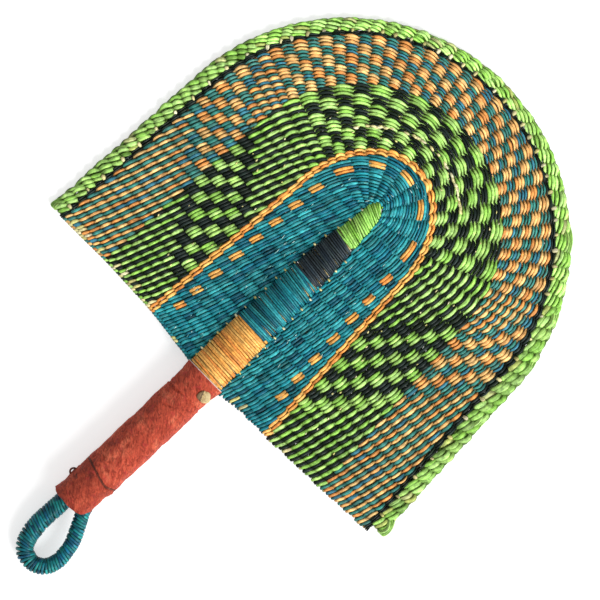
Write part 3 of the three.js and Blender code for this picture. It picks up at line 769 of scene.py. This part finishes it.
def rim_run(name, strands, spacing, first, last, slant, bow, painted_crown_light, depth, step):
    """One stretch of the rim, with groups a spacing apart between two shares of its length. At phase p,
    counted in groups, a strand's height goes with sin(pi p). It leans inward along each group, bows outward
    in its middle and dives between groups, a step of a group before the strand inside it. Returns the
    borders of its groups."""
    count = round((last - first) * rim_length / spacing)
    borders = np.linspace(first, last, count + 1)
    borders[1:-1] += 0.07 * (last - first) / count * rim_random.standard_normal(count - 1)
    s = np.arange(count * RIM_STEPS + 1) / RIM_STEPS
    inner, outward, width = rim_point(0.0, np.interp(s, np.arange(count + 1), borders))
    pitch = width / strands
    strand = np.arange(strands)[:, None, None]
    phase = s + step * (strand - (strands - 1) / 2)
    wave = np.sin(np.pi * phase)
    crest = np.abs(wave)
    group = np.broadcast_to(whole(phase, count), (3, strands, 2, len(s)))
    loose = np.take_along_axis(rim_random.standard_normal((3, strands, 2, count)), group, -1) * crest
    lean = 0.35 * np.cos(np.pi * phase) + 1.3 * np.arcsin(np.cos(np.pi * phase)) / np.pi
    offset = (strand + 0.5) * pitch + HANDS * lean * slant + loose[0] * 0.17 * pitch
    offset = offset + bow * (0.3 + 0.7 * strand / (strands - 1)) * (crest - 0.4)
    dome = 2.0 - 1.1 * ((strand + 0.5) / strands - 0.42) ** 2 * 4
    height = HANDS * np.sign(wave) * crest**0.6 * (dome + 0.15 * loose[1])
    height = np.maximum(height, 1.3 - RIM_MIDDLE)  # pressed flat by the table
    centre = raised(inner + offset[..., None] * outward, RIM_MIDDLE + height)
    wide = pitch * (0.52 + 0.04 * crest**0.6) * (1 + 0.07 * loose[2])
    thick = 1.2 * (0.8 + 0.2 * crest)
    middle = (phase[..., :-1] + phase[..., 1:]) / 2
    stroke = whole(middle, count)[..., None]
    # Painted light makes the crown's strands lighter than the legs', and painted shade darkens each stroke's
    # ends.
    dye = painted_crown_light * twist_tone(LIME, (strands, 2, count), rim_random, 0.16)
    pale = rim_random.random((strands, 2, count)) < np.where(strand == 0, 0.15, 0.08)
    dye[pale] = twist_tone(dyes("cfe07c dbe59a"), pale.sum(), rim_random)
    dye = np.take_along_axis(dye, stroke, 2) * painted_dive_shade(np.sin(np.pi * middle), depth)[..., None]
    across, far_from_dive = raised(outward, 0.0), 0.2 + 0.8 * crest
    made = put_strands(name, centre, across, wide, thick, dyed_grass, dye, 10, far_from_dive)
    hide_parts("rim_braid")
    return borders


RIM_RUNS = [
    # strands, spacing, from, to, slant, bow, painted light (more on the crown), how dark the painted shade
    # at the strands' ends is, step
    ("rim_left_leg", 3, 8.0, 0.0, 0.25, 1.6, 0.6, 1.0, 0.5, 0.0),
    ("rim_crown_left", 4, 9.75, 0.245, 0.49, 1.2, 1.5, 1.48, 0.3, -0.08),
    ("rim_crown_right", 4, 9.75, 0.485, 0.73, 1.2, 1.5, 1.42, 0.3, -0.14),
    ("rim_right_leg", 3, 8.8, 0.725, 1.0, 1.4, 1.6, 1.0, 0.5, 0.0),
]
left_borders, *crown_borders, right_borders = [rim_run(*run)[1:-1] for run in RIM_RUNS]

# Where a rim strand was joined or tied off, its ends bow out of the edge: at which share of the rim's length,
# half how many mm long, and how far out.
BOWS = [
    (0.002, 5.5, 2.0),
    (0.663, 11.0, 2.6),
    (0.74, 9.0, 2.2),
    (0.79, 9.0, 2.4),
    (0.86, 8.0, 1.6),
    (0.994, 8.0, 3.6),
]
bow_turn = np.linspace(-1, 1, 15)
rise = np.cos(bow_turn * np.pi / 2) ** 0.7
bows = []
for along, half_length, out in BOWS:
    for strand in range(3):
        at = along + half_length * (1 - 0.16 * strand) * bow_turn / rim_length
        plan, outward, _ = rim_point(0.86 - 0.12 * strand, np.clip(at, 0.0, 1.0))
        level = RIM_MIDDLE + (1.3 * rise - 1.2) + 0.9 * strand
        bows.append(raised(plan + outward * (out * rise)[:, None], level))
bow_dye = twist_tone(LIME, (len(bows), 1), rim_random, 0.14)
put_strands("rim_knots", np.array(bows), (0, 0, 1), 1.1, 1.25, dyed_grass, bow_dye, 8)


# Rib ends
# The bare, pale ends of the ribs are trimmed where the rim starts and look out between its groups: every
# second one up the legs, and every one round the crown.

end_places = np.concatenate([left_borders[::2], *crown_borders, right_borders[::2]])
base, outward, _ = rim_point(0.0, end_places)
ends_random = np.random.default_rng(71)
ends_middle = base[:, None] + outward[:, None] * np.array([-1.1, 0.2, 1.5])[:, None]
ends_middle = raised(ends_middle, RIM_MIDDLE + np.array([1.2, 2.0, 2.5]))
ends_middle += ends_random.standard_normal((len(base), 1, 3)) * np.array([0.3, 0.3, 0.15])
ends_size = ends_random.uniform(0.9, 1.6, (len(base), 1))
ends_dye = twist_tone(STRAW, (len(base), 1), ends_random)
across, flatter = beside(outward), ends_size * 0.8
put_strands("rib_ends", ends_middle, across, ends_size, flatter, dyed_grass, ends_dye, 10)


# Husks
# Bits of undyed husk stick out of the weave, most of them along one course near the crown, and thin pale
# teal bits on the teal field are painted glints.

HUSK_HEIGHT = 1.9  # mm over the blade's middle surface
husk_random = np.random.default_rng(75)


def husks(name, band, share, s, lengths, radii, choices):
    """Short bits lying along the courses, on top of the strands, with sizes between the given ones."""
    plan, outward, _ = band_place(band, share, s)
    length = husk_random.uniform(*lengths, len(s))[:, None, None]
    radius = husk_random.uniform(*radii, len(s))[:, None]
    run = np.stack([outward[:, 1], -outward[:, 0]], -1)
    along = np.array([-0.5, -0.2, 0.15, 0.5])[None, :, None] * length
    turn = 0.2 * husk_random.standard_normal((len(s), 1, 1))
    points = plan[:, None] + run[:, None] * along + outward[:, None] * along * turn
    middle = lift(points, HUSK_HEIGHT + np.array([-0.5, 0.2, 0.2, -0.5]))
    dye = 1.25 * twist_tone(choices, (len(s), 1), husk_random, 0.15)
    across = raised(outward, 0.0)[:, None]
    wide, thick = radius * np.array([0.5, 1.0, 1.0, 0.5]), radius * np.array([0.4, 0.8, 0.8, 0.4])
    put_strands(name, middle, across, wide, thick, dyed_grass, dye)


row_s = 17 + np.sort(husk_random.uniform(5.5, 15.8, 46))
row_share = 0.335 + 0.04 * np.clip((row_s - 24) / 3, 0, 1) + 0.006 * husk_random.standard_normal(46)
husks("husk_row", "green", row_share, row_s, (2.8, 4.8), (0.75, 1.15), STRAW)
share, s = husk_random.uniform(0.03, 0.97, 60), husk_random.uniform(0, ribs_in("green") - 1, 60)
husks("loose_husks", "green", share, s, (1.0, 2.4), (0.3, 0.6), STRAW)
# Thin pale teal bits on the teal field are painted glints.
share, s = husk_random.uniform(0.05, 0.97, 110), husk_random.uniform(0, ribs_in("teal") - 1, 110)
husks("painted_glints", "teal", share, s, (1.4, 3.6), (0.16, 0.34), dyes("58b0b4 86d0d0 b4e0e0"))


# Spine bindings
# Twisted grass is wound tightly round the spine and the ribs' roots in four colours. The turns lie against
# each other, and pale bits of rib show along both edges.

HEIGHT_TO_WIDTH = 0.7
TURN_DEPTH = 0.8  # from the winding's outside to its strand's middle
WOUND_BLACK = dyes("2a3640 36424a 1e2a34 303c40")
WOUND_LIME = dyes("a8e868 bcf67e 8ed04e aef072")
WOUND = [
    # colour, its dyes, from, to, turns, how little painted shade darkens the flanks of its turns
    ("orange", GOLD * 1.08, -2.0, 40.9, 25, 1.05),
    ("teal", TEAL, 40.9, 89.7, 32, 0.75),
    ("black", WOUND_BLACK, 89.7, 123.5, 22, 0.6),
    ("green", WOUND_LIME, 123.5, 156.3, 20, 0.6),
]
STEPS_PER_TURN = 28
TILT_HEIGHTS = [0, 20, 36, 50, 70, 90, 110, 125, 150]
TILTS = [0.2, -0.6, -0.2, 0.2, -1.0, -1.1, -1.0, -1.6, -2.0]  # how far the right side hangs below the middle
wound_random = np.random.default_rng(81)


def each_turn(turn, spread, generator):
    """A random amount for each turn of a winding, blended from one to the next."""
    count = int(turn[-1]) + 1
    return np.interp(turn, np.arange(count), spread * generator.standard_normal(count))


for colour, choices, low, high, turns, full in WOUND:
    # One strand: it climbs evenly as it goes round an ellipse as wide as the spine there.
    turn = np.arange(turns * STEPS_PER_TURN + 1) / STEPS_PER_TURN
    pitch = (high - low) / turns
    uneven = np.cumsum(wound_random.standard_normal(turns + 2))
    uneven = 0.1 * (uneven - np.linspace(uneven[0], uneven[-1], turns + 2))
    y = low + pitch * turn + np.interp(turn, np.arange(turns + 2), uneven) * np.sin(np.pi * turn / turns)
    swell = each_turn(turn, 0.14, wound_random)
    half, middle_x = spine_sides(y)
    angle = 2 * np.pi * turn + 0.6
    tilt = np.interp(y, TILT_HEIGHTS, TILTS) + each_turn(turn, 0.4, wound_random)
    middle = joined(
        middle_x + (half - TURN_DEPTH + swell) * np.cos(angle),
        y + tilt * np.cos(angle) * np.clip(np.minimum(y - low, high - y) / 1.5, 0, 1),
        AXIS_HEIGHT + (half * HEIGHT_TO_WIDTH - TURN_DEPTH + swell) * np.sin(angle),
    )
    dye = twist_tone(choices, (1, 2 * turns + 1), wound_random, 0.16)[:, (2 * turn[:-1]).astype(int)]
    # Painted shade at the flanks of the turns, a little more or less along the winding.
    painted_gap_lightness = full + 0.25 * np.sin(0.9 * angle + 1.0)
    name, slot = f"wound_{colour}", f"grass_{colour}"
    wound = put_strands(name, middle[None], (0, 1, 0), pitch * 0.56, 0.85, dyed_grass, dye, 8, painted_gap_lightness)
    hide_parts(f"spine_binding_{colour}")

# Ribs show at both edges of the winding, up to the black part's end at the right and three more at the left.
root_side = np.repeat([-1.0, 1.0], [18, 14])
root_rise = rib_rise(np.concatenate([np.arange(18), np.arange(14)]), root_side * SPINE_HALF_WIDTH)
root_edge, root_middle = spine_sides(root_rise)
root_out = root_middle + root_side * (root_edge + 0.1)
roots = joined(
    root_out[:, None] + root_side[:, None] * np.array([-0.9, 0.0, 0.8]),
    root_rise[:, None],
    AXIS_HEIGHT + np.array([1.6, 2.2, 1.6]),
)
roots += 0.35 * wound_random.standard_normal((len(roots), 1, 3))
root_size = wound_random.uniform(0.55, 1.0, (len(roots), 1))
root_dye = twist_tone(STRAW, (len(roots), 1), wound_random)
put_strands("rib_roots", roots, (0, 1, 0), root_size, root_size, dyed_grass, root_dye)


# Leather grip
# Red goatskin is drawn wet round the spine's lower end and sewn below. It has dried hard over the stalks: its
# top edge flares, and fine wrinkles, a crease and a few scars cross it.

GRIP_HALF_WIDTH = 14.2
GRIP_HALF_HEIGHT = 12.6
LEATHER_THICKNESS = 1.6
COLUMNS = 180  # of faces round a sleeve
WAVES = 40


def ripple(points, size, seed):
    """Smooth unevenness: a sum of cosine waves in random directions, each about size millimetres long."""
    generator = np.random.default_rng(seed)
    direction = unit(generator.standard_normal((WAVES, 3)))
    pace = 2 * np.pi / (size * generator.uniform(0.7, 1.5, WAVES))
    angle = points @ (direction * pace[:, None]).T + generator.uniform(0, 2 * np.pi, WAVES)
    return np.cos(angle).sum(-1) * np.sqrt(2 / WAVES)


def neck_height(angle):
    """Where the groove between grip and cuff runs: it drops from left to right and turns up at the edge."""
    return np.interp(np.cos(angle), [-1, -0.34, 0.34, 0.6, 1], [-93.8, -96.2, -98.8, -99.4, -96.8])


def leather_finish(name, tones, cut_edge=None):
    """Dyed goatskin in three tones: mottled, with pores and a net of fine creases, and streaked darker where
    its relief sinks and paler where it stands proud. Above cut_edge along the spine its raw edge shows pink."""
    material, shader, draw = new_finish(name)
    on = draw.node("TexCoord", out="Object")
    mottle = noise(on, 110, 5, roughness=0.65, distortion=0.6)
    turned = draw.node("Mapping", {"Vector": on, "Rotation": (0, 0, 0.8)})
    slantwise = draw.node("Mapping", {"Vector": turned, "Scale": (170, 520, 300)})
    drag = noise(slantwise, 1, 4, roughness=0.6, distortion=1.6)
    net = {"Vector": on, "Scale": 1500, "Randomness": 1}
    creases = draw.node("TexVoronoi", net, feature="DISTANCE_TO_EDGE")
    worn = ramp(mottle, (0.32, 0.52, 0.72), dyes(tones))
    streaks = ramp(drag, (0.4, 0.49, 0.6), [(0.6, 0.48, 0.46), (0.98, 0.98, 0.98), (1.3, 1.38, 1.4)])
    skin = worn.blend(0.9, worn, streaks, "MULTIPLY")
    spots = ramp(noise(on, 260, 2), (0.6, 0.7), [(0, 0, 0), (0.4, 0.4, 0.4)])
    spot_red, raw_pink = dyes("c8303a ffe2d6")
    skin = skin.blend(spots, skin, (*spot_red, 1))
    if cut_edge is not None:
        along_spine = on.node("SeparateXYZ", {"Vector": on}, out=1)
        raw = along_spine.math("GREATER_THAN", along_spine, place([0, cut_edge, 0])[1])
        skin = skin.blend(raw, skin, (*raw_pink, 1))
    shader.inputs["Specular IOR Level"].default_value = 0.3
    relief = drag * 0.8 + noise(on, 2600, 2) * 0.25 + creases.node("Clamp", {0: creases * 3.0}) * 0.3
    surface(shader, skin, 0.45 + mottle * 0.35, relief, 0.001, 1.0)
    return material


def round_handle(angle, y, grown, lowest):
    """Points round the handle, grown beyond the grip's ellipse and pressed flat on the table."""
    x = handle_middle(y) + (GRIP_HALF_WIDTH + grown) * np.cos(angle)
    z = AXIS_HEIGHT + (GRIP_HALF_HEIGHT + grown) * np.sin(angle)
    return joined(x, y, np.maximum(z, lowest))


def sleeve(name, top, bottom, radius_at, finish, rows):
    """A leather sleeve: the outside runs from its top edge to its bottom edge, turns in over a rounded lip at
    each end and comes back inside. radius_at(angle, y) is how far its surface stands out beyond the handle's
    ellipse."""
    lip = np.linspace(0, np.pi, 7)[1:-1]
    share = np.concatenate([np.linspace(0, 1, rows), np.ones(5), [1.0, 0.0], np.zeros(5)])[:, None]
    beyond = np.concatenate([np.zeros(rows), np.sin(lip), [0, 0], -np.sin(lip)])[:, None]
    depth = np.concatenate([np.zeros(rows), (1 - np.cos(lip)) / 2, [1, 1], (1 + np.cos(lip)) / 2])[:, None]
    y = top + (bottom - top) * share - beyond * LEATHER_THICKNESS / 2
    grown = radius_at(np.broadcast_to(sleeve_angle, y.shape), y) - depth * LEATHER_THICKNESS
    points = round_handle(sleeve_angle, y, grown, 0.02 + 1.1 * depth)
    number = np.arange(points.size // 3).reshape(-1, COLUMNS)
    right = np.roll(number, -1, 1)
    quads = np.stack([number, right, np.roll(right, -1, 0), np.roll(number, -1, 0)], -1)
    u = np.arange(COLUMNS + 1) / COLUMNS
    v = np.arange(len(share) + 1) / len(share)
    corner = [np.stack(np.meshgrid(a, b), -1) for b in (v[:-1], v[1:]) for a in (u[:-1], u[1:])]
    bake = np.stack([corner[0], corner[1], corner[3], corner[2]], -2)
    points = place(points.reshape(-1, 3))
    return put_piece(name, points, [quads], finish, {"OFBake": [bake]})


def on_skin(angle, y):
    """Places on the handle's surface, for unevenness that closes up behind."""
    return joined(GRIP_HALF_WIDTH * np.cos(angle), y, GRIP_HALF_HEIGHT * np.sin(angle))


LEFTWARD = np.array([[0.83, 0.56, 0], [-0.56, 0.83, 0], [0, 0, 1.0]])  # turns the wrinkles off level
CREASE_AT = -21.5
SCAR_AT, SCAR_ANGLE = -33.0, 1.75
LAP_ANGLE = 4.45  # where one edge of the skin lies over the other, underneath


def grip_relief(angle, y):
    """Flare at the top, stalks felt through the skin, small wrinkles, a crease round the grip and a scar."""
    at = on_skin(angle, y)
    flare = 1.3 * np.maximum(0, 1 - (GRIP_TOP - y) / 9.0) ** 1.5
    stalks = 0.16 * np.cos(9 * angle + 0.5 * np.sin(y / 17))
    dents = 0.2 * ripple(at, 14, 91)
    facing = np.maximum(0, np.sin(angle)) ** 0.7
    wrinkles = (0.04 + 0.1 * facing) * ripple(at @ LEFTWARD * np.array([1, 2.6, 1]), 6, 92)
    wrinkles = wrinkles + 0.08 * facing * ripple(at @ LEFTWARD * np.array([1, 2.4, 1]), 3, 95)
    from_crease = y - (CREASE_AT + 0.6 * np.sin(angle * 2) + 0.5 * np.sin(angle * 5))
    crease = -0.9 * np.exp(-((from_crease / 0.65) ** 2))
    crease = crease + 0.35 * np.exp(-(((from_crease + 1.4) / 0.9) ** 2))
    from_scar, from_lap = angle - SCAR_ANGLE, angle - LAP_ANGLE
    scar = -0.8 * np.exp(-(((y - SCAR_AT + 3 * from_scar) / 0.5) ** 2) - (from_scar / 0.22) ** 2)
    lap = 0.35 / (1 + np.exp(-from_lap / 0.03)) * np.exp(-((from_lap / 0.7) ** 2))
    return flare + stalks + dents + wrinkles + crease + scar + lap - 0.25


sleeve_angle = np.linspace(0, 2 * np.pi, COLUMNS, endpoint=False)
neck = neck_height(sleeve_angle)
goatskin = leather_finish("goatskin", "b2422c d0543a e47858", GRIP_TOP + 0.15)
grip_skin = sleeve("grip_skin", GRIP_TOP, neck + 1.2, grip_relief, goatskin, 260)
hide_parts("leather_grip")


# Leather cuff
# A second piece of the same skin covers the roots of the hanging loop. Its mouth is cut longer in front than
# at the sides.

CUFF_TOP = -100.2
CUFF_MOUTH = -124.4


def cuff_relief(angle, y):
    """Unevenness like the grip's, and a mouth that opens a little."""
    at = on_skin(angle, y)
    side = np.cos(angle)
    mouth = (0.6 + 1.0 * np.maximum(0, -side)) * np.clip((CUFF_TOP - 14 - y) / 10, 0, 1) ** 2
    narrow = 1.1 * np.maximum(0, side) ** 1.5 * np.clip((CUFF_TOP - y) / 6, 0, 1)
    return 0.16 * ripple(at, 11, 93) + 0.1 * ripple(at * np.array([1, 2.2, 1]), 5, 94) + mouth - narrow - 0.2


# The mouth's edge is level in front and cut higher at both sides, most of all at the right.
left_cut = np.maximum(0, (-np.cos(sleeve_angle) - 0.42) / 0.55)
right_cut = np.maximum(0, (np.cos(sleeve_angle) - 0.35) / 0.55)
cuff_mouth = CUFF_MOUTH + 2.4 * left_cut**2 + 4.2 * right_cut**2 + 0.3 * np.sin(7 * sleeve_angle)
shaded_goatskin = leather_finish("shaded_goatskin", "9e3825 bc4930 d46446")
cuff_skin = sleeve("cuff_skin", neck - 1.2, cuff_mouth, cuff_relief, shaded_goatskin, 90)
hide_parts("leather_cuff")


# Neck thong
# A thin rolled strip of hide is tied in the groove between grip and cuff. Its tail sticks out at the left
# of the cuff as a small curl.

thong_leather = leather_finish("thong_leather", "4f2219 7d3a28 c07a55")
turn = np.linspace(0, 2 * np.pi * 1.02, 120)
thong = round_handle(turn, neck_height(turn) + 0.25 * np.sin(3 * turn + 0.4), -0.75, 0.8)
tied = put_strands("tied_thong", thong[None], (0, 1, 0), 0.75, 0.75, thong_leather, sides=10)
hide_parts("neck_thong")

curl_turn = np.linspace(-0.35, 1.5, 36) * np.pi
curl_reach = 2.5 - 0.35 * np.linspace(0, 1, 36)
curl = joined(
    -15.3 - curl_reach * np.sin(curl_turn),
    -107.3 + curl_reach * np.cos(curl_turn),
    AXIS_HEIGHT + np.linspace(2.6, 1.2, 36),
)
tail = np.array([[-10.6, -108.8, AXIS_HEIGHT + 9.6], [-12.4, -107.4, AXIS_HEIGHT + 7.6]])
curl = np.concatenate([tail, curl])
curled_tail = put_strands(
    "curled_tail", curl[None], (0, 0, 1), 1.15, 0.7, thong_leather, sides=10
)
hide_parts("thong_curl")


# Stalk end
# One thick stalk of the spine comes out through the leather below the grip's top. It is cut on a slant, and
# the cut shows pale wood with a dark split; painted light makes the cut paler towards +x and +y.

PEG_SIDES = 28
PEG_RADIUS = 4.3
peg_low, peg_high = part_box("stalk_peg")
peg_x, peg_y, _ = (np.array(peg_low) + np.array(peg_high)) / 2
cut, cut_shader, draw = new_finish("cut_stalk")
peg_on = draw.node("TexCoord", out="Object")
from_middle = draw.node("Mapping", {"Vector": peg_on, "Location": (-peg_x, -peg_y, 0)})
to_right, upward = (draw.node("SeparateXYZ", {"Vector": from_middle}, out=axis) for axis in (0, 1))
uneven = noise(peg_on, 700, 4)
# Painted light: the cut is paler towards +x and +y and darker at the opposite side; uneven adds the grain.
grain_and_painted_light = to_right * 70 + upward * 30 + uneven * 0.9
*peg_tones, split_brown = dyes("7d6040 b89a68 dcc490 4a3524")
wood = ramp(grain_and_painted_light, (0.2, 0.42, 0.62), peg_tones)
off_split = draw.math("ABSOLUTE", to_right + upward * 0.35 + uneven * 0.002 + 0.0009, 0.0)
split = draw.math("LESS_THAN", off_split, 0.00045)
wood = wood.blend(split * 0.8, wood, (*split_brown, 1))
surface(cut_shader, wood, 0.6 + uneven * 0.25, uneven, 0.0006, 0.9)

ring_share = np.array([0.35, 0.7, 0.86, 0.95, 1.0, 1.0, 1.0])[:, None]
ring_height = np.array([0.2, 0.35, 0.3, 0.1, -0.35, -3.0, -5.0])[:, None]
angle = np.linspace(0, 2 * np.pi, PEG_SIDES, endpoint=False)
wobble = 1 + 0.05 * np.cos(3 * angle + 1) + 0.04 * np.cos(5 * angle) + 0.05 * np.cos(2 * angle + 5.5)
reach = PEG_RADIUS * ring_share * wobble
across_x, across_y = reach * np.cos(angle), reach * np.sin(angle)
slant = (-0.25 * across_x - 0.1 * across_y) * (ring_height > -1)
rings = joined(across_x, across_y, ring_height + slant).reshape(-1, 3)
peg_points = np.concatenate([rings, [[0, 0, 0.1], [0, 0, -5.0]]]) * MM + [peg_x, peg_y, peg_high.z - 0.0009]
number = np.arange(len(rings)).reshape(-1, PEG_SIDES)
right = np.roll(number, -1, 1)
walls = np.stack([number[:-1], number[1:], right[1:], right[:-1]], -1)
caps = [joined(len(rings), number[0], right[0]), joined(len(rings) + 1, right[-1], number[-1])]
stalk_end = put_piece("stalk_end", peg_points, [walls, *caps], cut)
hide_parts("stalk_peg")


# Hanging loop
# A rope of stalks is bent into a teardrop, its ends sewn into the cuff, and teal grass is wound round it
# some sixty times. The left leg is thicker than the right one.

LOOP_TURNS = 62
LOOP_STEPS = 22  # to a turn
LOOP_TONES = 7  # to a turn
LOOP_START = -115.1  # mm along the spine, where the loop's ends meet the handle's core
LOOP_ROUTE = [  # mm to the right, away from the handle, and down from the axis
    [-5.9, -6.1, -6.6, -7.2, -7.3, -6.3, -4.0, 0.3, 6.2, 12.3, 16.9, 18.9, 18.8, 17.2, 14.3, 10.8, 7.6, 5.8],
    [0, 5, 13, 22, 31, 40.2, 46.9, 51.4, 53.1, 51.4, 46.9, 40.4, 33.5, 26.3, 19, 12.2, 6, 0],
    [0, 0.2, 1.0, 2.1, 3.2, 4.2, 4.7, 5.0, 5.1, 4.9, 4.5, 3.9, 3.3, 2.5, 1.6, 0.9, 0.3, 0],
]


def smooth_route(points, steps):
    """A smooth line through points: on each span a cubic whose slopes are the chords beside it. Returns
    evenly spaced points and the line's length."""
    chord = np.sqrt(np.linalg.norm(np.diff(points, axis=0), axis=1))
    knot = np.concatenate([[0], np.cumsum(chord)])
    slope = np.gradient(points, knot, axis=0)
    at = np.linspace(0, knot[-1], 40 * len(points))
    span = np.clip(np.searchsorted(knot, at, side="right") - 1, 0, len(chord) - 1)
    h = (knot[span + 1] - knot[span])[:, None]
    t = ((at - knot[span]) / h[:, 0])[:, None]
    curve = (
        (2 * t**3 - 3 * t**2 + 1) * points[span]
        + (t**3 - 2 * t**2 + t) * h * slope[span]
        + (3 * t**2 - 2 * t**3) * points[span + 1]
        + (t**3 - t**2) * h * slope[span + 1]
    )
    run = run_along(curve)
    even = np.linspace(0, run[-1], steps)
    return np.stack([np.interp(even, run, curve[:, i]) for i in range(3)], -1), run[-1]


route_x, route_down, route_drop = np.array(LOOP_ROUTE)
route = joined(route_x, LOOP_START - route_down, AXIS_HEIGHT - route_drop)
share = np.linspace(0, 1, LOOP_TURNS * LOOP_STEPS + 1)
rope, rope_length = smooth_route(route, len(share))
rope_run = unit(np.gradient(rope, axis=0))
rope_side = unit(np.cross([0.0, 0.0, 1.0], rope_run))
rope_up = np.cross(rope_run, rope_side)
loop_random = np.random.default_rng(101)
turn = share * LOOP_TURNS
radius = np.interp(share, [0, 0.12, 0.3, 0.5, 0.7, 0.88, 1], [4.4, 5.3, 5.5, 4.8, 4.1, 4.1, 4.1])
radius = radius + each_turn(turn, 0.1, loop_random)
tilt = np.interp(share, [0, 0.35, 0.5, 0.65, 1], [2.6, 2.8, 1.2, 1.8, 2.2])
tilt = tilt + each_turn(turn, 0.4, loop_random)
cosine, sine = np.cos(2 * np.pi * turn), np.sin(2 * np.pi * turn)
wound_loop = (
    rope
    + rope_side * (radius * cosine)[:, None]
    + rope_up * (radius * sine)[:, None]
    + rope_run * (tilt * cosine)[:, None]
)
LOOP_TEAL = dyes("0f6474 147278 0c5672 1a7c7c")
loop_dye = twist_tone(LOOP_TEAL, (1, LOOP_TONES * LOOP_TURNS + 1), loop_random, 0.3)
loop_dye = loop_dye[:, (LOOP_TONES * turn[:-1]).astype(int)]
# Painted light: the winding is coloured lighter along the right leg, on the lamp's side.
loop_dye = loop_dye * np.interp(share[:-1], [0, 0.55, 0.75, 1], [1.0, 1.0, 1.35, 1.1])[:, None]
loop_wide = 0.64 * rope_length / LOOP_TURNS
wound_loop = wound_loop[None]
# A stroke map of 0.65 gives the turns' flanks painted shade.
loop_winding = put_strands(
    "loop_winding", wound_loop, rope_run, loop_wide, 1.1, dyed_grass, loop_dye, stroke=0.65
)
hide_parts("hanging_loop_binding")
# The loop's core takes the ribs' dark stalk finish, painted shade inside its winding.
core_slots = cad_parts["hanging_loop_core"].data.materials
core_slots.clear()
core_slots.append(stalks_across)


# Table, lamps and camera
# The fan lies on a plain white table with one broad soft lamp to its right, and is looked at from straight
# above with its handle towards the lower left of the picture.

table_mesh = bpy.data.meshes.new("table")
table_mesh.from_pydata([(-4, -4, 0), (4, -4, 0), (4, 4, 0), (-4, 4, 0)], [], [(0, 1, 2, 3)])
table_top = add_object("table", table_mesh)
table_top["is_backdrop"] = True
white, white_shader, draw = new_finish("white_table")
white_shader.inputs["Base Color"].default_value = (0.85, 0.85, 0.85, 1)
white_shader.inputs["Roughness"].default_value = 0.9
white_shader.inputs["Specular IOR Level"].default_value = 0.1
rays = [draw.node("LightPath", out=f"Is {kind} Ray") for kind in ("Camera", "Glossy", "Transmission")]
looked_at = draw.math("MAXIMUM", draw.math("MAXIMUM", rays[0], rays[1]), rays[2])
glow = draw.blend(looked_at, (0, 0, 0, 1), (0.57, 0.57, 0.57, 1))
glow.feed(white_shader.inputs["Emission Color"])
white_shader.inputs["Emission Strength"].default_value = 1.0
table_mesh.materials.append(white)

world = bpy.data.worlds.new("studio")
world.use_nodes = True
world.node_tree.nodes["Background"].inputs["Color"].default_value = (1, 1, 1, 1)
world.node_tree.nodes["Background"].inputs["Strength"].default_value = 0.4
bpy.context.scene.world = world

sun = bpy.data.lights.new("soft_lamp", "SUN")
sun.energy = 3.3
sun.angle = 0.7
add_object("soft_lamp", sun).rotation_euler = (np.radians(3), np.radians(57), 0)

PHOTO_WIDTH = 0.390  # metres of table across the picture
CAMERA_HEIGHT = 8.0
camera = bpy.data.cameras.new("camera")
camera.sensor_width = 36
camera.lens = camera.sensor_width * CAMERA_HEIGHT / PHOTO_WIDTH
camera_object = add_object("camera", camera)
picture_middle = place([7.96, 75.78, 0.0])
camera_object.location = (picture_middle[0], picture_middle[1], CAMERA_HEIGHT + 0.008)
camera_object.rotation_euler = (0, 0, np.radians(45.6))
bpy.context.scene.camera = camera_object
bpy.context.scene.view_settings.view_transform = "Standard"

low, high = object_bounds()
